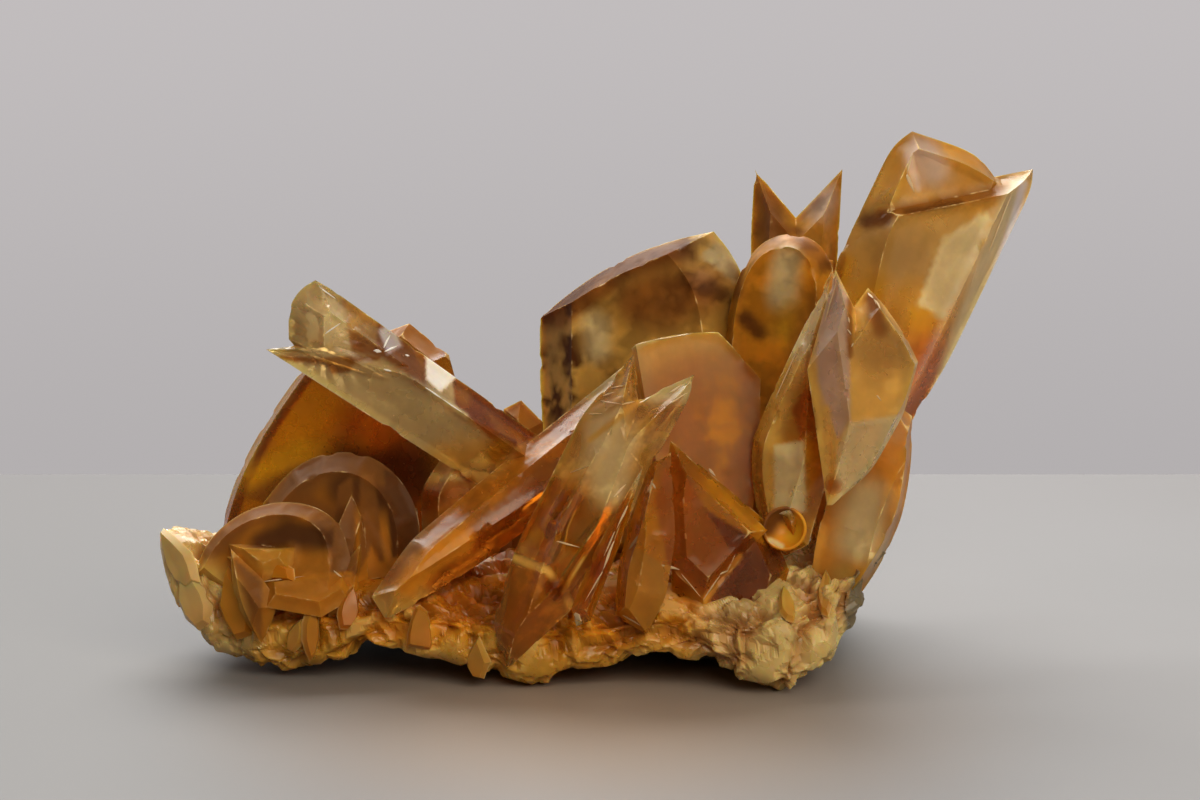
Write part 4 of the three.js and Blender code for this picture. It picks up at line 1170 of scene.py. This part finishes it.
# %% [markdown]
# ## Finishes of the crust and the rock
#
# The small crystals are the same selenite, so they let light through as well. The crust is this stuff in
# its smallest crystals, which scatter light a little way inside. The rock is dull, grey-green with cream
# and rust spots. One finish for all would be simpler, but the rock would shine.

# %% Small crystals
def small_crystal_material(name, clear, shine, depth):
    """As for the crystals, but with softer bruises all along the rim, and more light scattered near the
    surface."""
    material, tree = new_material(name)
    place = object_place(tree)
    rim = add(tree, "ShaderNodeAttribute", attribute_name="rim").outputs["Fac"]
    grime = noise_node(tree, place, 500, 2, 0.5)
    clouds = noise_node(tree, place, 250, 2, 0.5)
    bruise = ramp(tree, rim, 0.02, 0.22, 0.5, 0)
    colour, haze = painted_colour(tree, ramp(tree, clouds, 0.3, 0.7, 0.9, 1.05), bruise, (0.9, 0.68, 0.32))
    haze = math_node(tree, "ADD", haze, math_node(tree, "MULTIPLY", bruise, 0.5), clamp=True)
    bump = add(tree, "ShaderNodeBump", {"Height": clouds, "Strength": 0.1, "Distance": 0.0001})
    return finish(material, tree, {
        "Base Color": colour, "Roughness": ramp(tree, grime, 0.35, 0.7, shine, shine + 0.2),
        "IOR": SELENITE_IOR, "Transmission Weight": ramp(tree, haze, 0, 1, clear, 0.1),
        "Subsurface Weight": 0.6, "Subsurface Radius": (1.0, 0.55, 0.15), "Subsurface Scale": 0.0006,
        "Specular IOR Level": 0.3, "Normal": bump.outputs[0],
    }, (0.92, 0.72, 0.05), depth)


small_selenite = small_crystal_material("small_selenite", 0.5, 0.3, 150.0)
for piece in edge_pieces:
    piece.data.materials.append(small_selenite)
crust.data.materials.append(small_crystal_material("sugary_crust", 0.5, 0.25, 200.0))

# %% Grey rock
def rock_material():
    """Two greys in patches, rusty and creamy specks where a fine noise is high or low, and dark
    hollows."""
    material, tree = new_material("host_rock")
    place = object_place(tree)
    hollow = add(tree, "ShaderNodeAttribute", attribute_name="hollow").outputs["Fac"]
    patches = ramp(tree, noise_node(tree, place, 220, 5, 0.65), 0.35, 0.65, 0, 1)
    specks = noise_node(tree, place, 900, 4, 0.75)
    grey = mix_colours(tree, patches, (0.2, 0.18, 0.12), (0.36, 0.33, 0.24))
    rusty = mix_colours(tree, ramp(tree, specks, 0.55, 0.66, 0, 0.8), grey, (0.4, 0.22, 0.09))
    creamy = mix_colours(tree, ramp(tree, specks, 0.34, 0.42, 0.85, 0), rusty, (0.62, 0.55, 0.42))
    colour = mix_colours(tree, ramp(tree, hollow, 0.5, 1.2, 0, 0.6), creamy, (0.12, 0.1, 0.06))
    bump = add(tree, "ShaderNodeBump", {"Height": specks, "Strength": 0.6, "Distance": 0.0003})
    return finish(material, tree, {"Base Color": colour, "Roughness": 0.92, "Normal": bump.outputs[0]})


rock.data.materials.append(rock_material())

# %% They take the place of the plain solids
for piece in (crust, *edge_pieces):
    stand_for(piece, "druse_crust")
stand_for(rock, "host_rock")

# %% [markdown]
# ## The round hollow
#
# At the foot of one blade the photograph shows a round hollow, as if a bubble had been there. The solid
# has a pit with flat sides at that place. A boolean would cut the fine grid badly, so a small bowl with a
# lip is set there.

# %% A bowl
def bowl(middle, radius, depth, rings=24, around=72):
    """A closed bowl that opens towards the camera. Its profile rises by r² from the depth to the lip,
    goes round the lip in a half circle, and comes back along a flat bottom."""
    lip = 0.1 * radius
    r = np.arange(1, rings + 1) / rings * radius
    bend = np.pi * np.arange(1, 9) / 8
    across = np.concatenate([r, radius + lip - lip * np.cos(bend), r[::-1]])
    up = np.concatenate([depth * ((r / radius) ** 2 - 1), lip * np.sin(bend), 0 * r - 1.3 * depth])
    turn = 2 * np.pi * np.arange(around) / around
    towards = unit(camera_place - middle)
    side = unit(np.cross(towards, [0, 0, 1.0]))
    circle = np.cos(turn)[:, None] * side - np.sin(turn)[:, None] * np.cross(towards, side)
    rows = across[:, None, None] * circle + up[:, None, None] * towards
    poles = np.array([-depth * towards, -1.3 * depth * towards])
    return middle + np.concatenate([rows.reshape(-1, 3), poles]), grid_triangles(len(across), around)

# %% The hollow at its place
HOLLOW_DEPTH = 1.3
HOLLOW_RADIUS = 18.5  # pixels
blade_points, blade_out = grown["hollow_blade"]
round_it = [(764, 522), (804, 522), (785, 548), (784, 510)]
lip_places = [blade_points[seen_at(blade_points, blade_out, place)] for place in round_it]
away = min((place - camera_place) @ forward for place in lip_places)
hollow_middle = place_at(np.array([[784.5, 528.5]]), np.array([away]))[0]
hollow_points, hollow_triangles = bowl(hollow_middle, HOLLOW_RADIUS * away / FOCAL, HOLLOW_DEPTH)
# The hollow's paint is light and shade: umber at the upper left is painted shade under the lip, yellow at
# the right its painted lit side, and the cream line a painted glint.
hollow_paint = painted(hollow_points, "gold", 0.5, [
    ("umber", 0.9, 9, 768, 528, 774, 517, 786, 512), ("yellow", 0.4, 8, 798, 524, 794, 536),
    ("cream", 0.9, 2.5, 770, 540, 782, 546),
], 5)
hollow_looks = {"paint": hollow_paint, "rim": 1 + 0 * hollow_paint[:, 0]}
hollow = new_object("round_hollow", hollow_points, hollow_triangles, hollow_looks, 60)
hollow.data.materials.append(small_crystal_material("hollow_gold", 0.3, 0.35, 200.0))
stand_for(hollow, "hollow_blade")
print("hollow at", hollow_middle.round(1))

# %% [markdown]
# ## Cracks, chips and glints
#
# Thin cracks and broken edges throw the light back white: the ridge, seam and tip of the pale twin, the
# steps on the clear blade, the split along the spear. On the real crystals these are films of air. Here
# each one is a thin pale plate, half sunk in the surface, from one place in the photograph to another: its
# pale colour is a painted highlight. The cracked white patch on the pale twin is a highlight painted on
# the crystal itself.

# %% Where the photograph shows them
glints = {  # from x, y to x, y, and a width, in pixels
    "crossed_twin": [
        (430, 390, 447, 402, 2), (446, 401, 466, 415, 2), (376, 354, 382, 357, 4), (407, 350, 412, 352, 3),
        (388, 366, 393, 367, 2.5), (386, 343, 396, 332, 2.5), (390, 352, 402, 342, 2.5),
        (318, 283, 340, 296, 2), (322, 337, 344, 326, 2),
    ],
    "clear_blade": [
        (590, 389, 612, 391, 2), (614, 392, 636, 391, 2), (594, 399, 618, 402, 1.5),
        (619, 403, 640, 400, 2), (602, 381, 628, 383, 1.5), (584, 411, 600, 413, 1.5),
        (566, 470, 590, 469, 1.2), (668, 389, 690, 380, 3), (672, 400, 690, 395, 3),
        (618, 497, 630, 484, 3), (560, 543, 578, 549, 2),
    ],
    "front_spear": [
        (634, 505, 612, 530, 2.5), (612, 531, 600, 556, 2.5), (618, 541, 598, 570, 3),
        (598, 571, 582, 598, 2.5), (567, 617, 580, 628, 9),
    ],
    "orange_wedge": [
        (664, 566, 676, 572, 4), (676, 574, 700, 602, 1.5), (706, 602, 724, 577, 2.5),
        (724, 577, 732, 573, 3), (732, 572, 739, 556, 2), (637, 482, 645, 488, 6), (646, 478, 650, 490, 4),
        (652, 480, 658, 490, 2.5), (626, 548, 634, 534, 5), (622, 619, 640, 632, 3),
    ],
    "right_twin": [
        (865, 290, 873, 296, 3), (873, 296, 884, 310, 4), (849, 321, 852, 325, 2.5),
        (850, 334, 852, 338, 2), (850, 347, 852, 351, 2), (821, 322, 833, 278, 1.5),
        (880, 398, 885, 402, 2),
    ],
    "great_blade": [
        (907, 154, 912, 172, 3), (912, 172, 918, 190, 5), (1018, 190, 990, 262, 2),
        (1004, 200, 972, 290, 2),
    ],
    "hollow_blade": [
        (764, 400, 798, 338, 2),
    ],
    "left_rosette": [
        (268, 580, 300, 574, 1.5), (300, 574, 340, 573, 1.5), (338, 574, 346, 578, 3),
    ],
    "round_fan": [
        (632, 347, 654, 332, 2), (654, 331, 700, 326, 2), (712, 466, 716, 470, 3),
    ],
}

# %% Plates on the surface
GLINT_THICK = 0.12
GLINT_UNEVEN = 0.3
OVERLAP = 0.3


def glint_material(name, colour, lets_through):
    """A pale film with the refractive index of the crystal; its pale colour is a painted highlight."""
    material, tree = new_material(name)
    inputs = {"Base Color": (*colour, 1), "Roughness": 0.3, "Transmission Weight": lets_through}
    return finish(material, tree, {**inputs, "IOR": SELENITE_IOR})


# pale plates on cracks and chips, whose colour is a painted highlight
white_cracks_and_highlights = glint_material("white_cracks_and_highlights", (0.97, 0.95, 0.9), 0.1)
golden_cracks_and_highlights = glint_material("golden_cracks_and_highlights", (0.95, 0.78, 0.5), 0.4)
for node, rows in glints.items():
    points, out = grown[node]
    rows = np.array(rows)
    pairs = np.array([[seen_at(points, out, row[:2]), seen_at(points, out, row[2:4])] for row in rows])
    starts, ends = points[pairs[:, 0]], points[pairs[:, 1]]
    scale = ((starts - camera_place) @ forward) / FOCAL
    lengths = np.linalg.norm(ends - starts, axis=1) + OVERLAP
    sizes = np.stack([rows[:, 4] * scale, GLINT_THICK + 0 * scale, lengths], 1)
    facing = out[pairs].sum(1)
    plates, faces = swarm(shard, (starts + ends) / 2, ends - starts, facing, sizes, 0.0, GLINT_UNEVEN)
    glint = new_object("glints_" + node, plates, faces, {}, 25)
    glint.data.materials.append(white_cracks_and_highlights if node == "crossed_twin" else golden_cracks_and_highlights)
    stand_for(glint, node)
print(sum(len(rows) for rows in glints.values()), "cracks and chips")

# %% [markdown]
# ## Table, wall and light
#
# The photograph was taken by a window: the light is soft, comes mostly from behind and above, and the
# wall is a plain pale grey. A table top with an edge behind the specimen gives the same soft horizon. The
# wall needs no mesh: it is the world's own colour, a little darker towards the horizon. Behind the camera
# the room is dim.

# %% Table
TABLE_BACK = 103.0
TABLE_SPAN = 3000.0
EDGE_FADE = 80


def table_material():
    """A grey with faint blotches, darker at the left, and a pool of warm light painted near the crystals'
    foot, where light through them falls."""
    material, tree = new_material("table_top")
    place = object_place(tree)
    x, y, _ = add(tree, "ShaderNodeSeparateXYZ", {0: place}).outputs
    near_edge = ramp(tree, y, (TABLE_BACK - EDGE_FADE) * MM, TABLE_BACK * MM, 0, 1)
    left = ramp(tree, x, -0.1, 0.09, 1, 0)
    blotches = ramp(tree, noise_node(tree, place, 12, 3, 0.5), 0.35, 0.65, 0, 1)
    base = mix_colours(tree, blotches, (0.262, 0.262, 0.268), (0.274, 0.274, 0.282))
    base = mix_colours(tree, left, base, (0.2, 0.199, 0.2))
    distance = add(tree, "ShaderNodeVectorMath", {0: place, 1: (0.0, -0.036, 0.0)}, operation="DISTANCE")
    # painted pool of warm light on the table near the crystals' foot
    glow = ramp(tree, distance.outputs["Value"], 0.0, 0.05, 0.55, 0)
    warmed = mix_colours(tree, glow, base, (0.55, 0.42, 0.31))
    far = mix_colours(tree, left, (0.255, 0.25, 0.255), (0.2, 0.196, 0.199))
    colour = mix_colours(tree, near_edge, warmed, far)
    return finish(material, tree, {"Base Color": colour, "Roughness": 0.55})


half, back = TABLE_SPAN / 2, TABLE_BACK
table_corners = np.array([[-half, -half, 0], [half, -half, 0], [half, back, 0], [-half, back, 0]])
table = new_object("table", table_corners, np.array([[0, 1, 2], [0, 2, 3]]), {})
table.data.materials.append(table_material())

# %% Wall
world = bpy.data.worlds.new("pale_wall")
world.use_nodes = True
room = world.node_tree
room.nodes.clear()
direction = add(room, "ShaderNodeTexCoord").outputs["Generated"]
_, towards_wall, height = add(room, "ShaderNodeSeparateXYZ", {0: direction}).outputs
above, overhead = ramp(room, height, -0.2, 0.0, 0, 1), ramp(room, height, 0.25, 0.8, 0, 1)
wall_colour = mix_colours(room, above, (0.42, 0.402, 0.406), (0.49, 0.468, 0.472))
ceiling = mix_colours(room, overhead, (0.03, 0.025, 0.02), (0.2, 0.193, 0.19))
room_colour = mix_colours(room, ramp(room, towards_wall, -0.1, 0.6, 0, 1), ceiling, wall_colour)
seen = add(room, "ShaderNodeLightPath").outputs["Is Camera Ray"]
backdrop = mix_colours(room, seen, room_colour, wall_colour)
background = add(room, "ShaderNodeBackground", {"Color": backdrop, "Strength": 1.0})
add(room, "ShaderNodeOutputWorld", {"Surface": background.outputs[0]})
bpy.context.scene.world = world

# %% Windows
LAMPS_AIM = np.array([0, 0, 20])


def window(name, place, size, power, colour):
    """A rectangular lamp at a place in millimetres, turned towards the specimen."""
    lamp = bpy.data.lights.new(name, "AREA")
    lamp.shape = "RECTANGLE"
    lamp.size, lamp.size_y = size[0] * MM, size[1] * MM
    lamp.energy = power
    lamp.color = colour
    source = bpy.data.objects.new(name, lamp)
    source.location = np.array(place) * MM
    source.rotation_euler = Vector(LAMPS_AIM - np.array(place)).to_track_quat("-Z", "Y").to_euler()
    bpy.context.scene.collection.objects.link(source)


window("window", (-200, 820, 900), (1300, 900), 17.0, (1.0, 0.99, 0.97))
window("room", (380, -760, 560), (900, 500), 6.5, (1.0, 0.9, 0.74))

# %% How the picture is made
scene = bpy.context.scene
scene.view_settings.view_transform = "Standard"
scene.view_settings.gamma = 0.87
scene.view_settings.exposure = 0.25
scene.cycles.use_denoising = True
scene.cycles.max_bounces = 14
scene.cycles.transmission_bounces = 14
scene.cycles.transparent_max_bounces = 8
scene.cycles.sample_clamp_indirect = 4.0
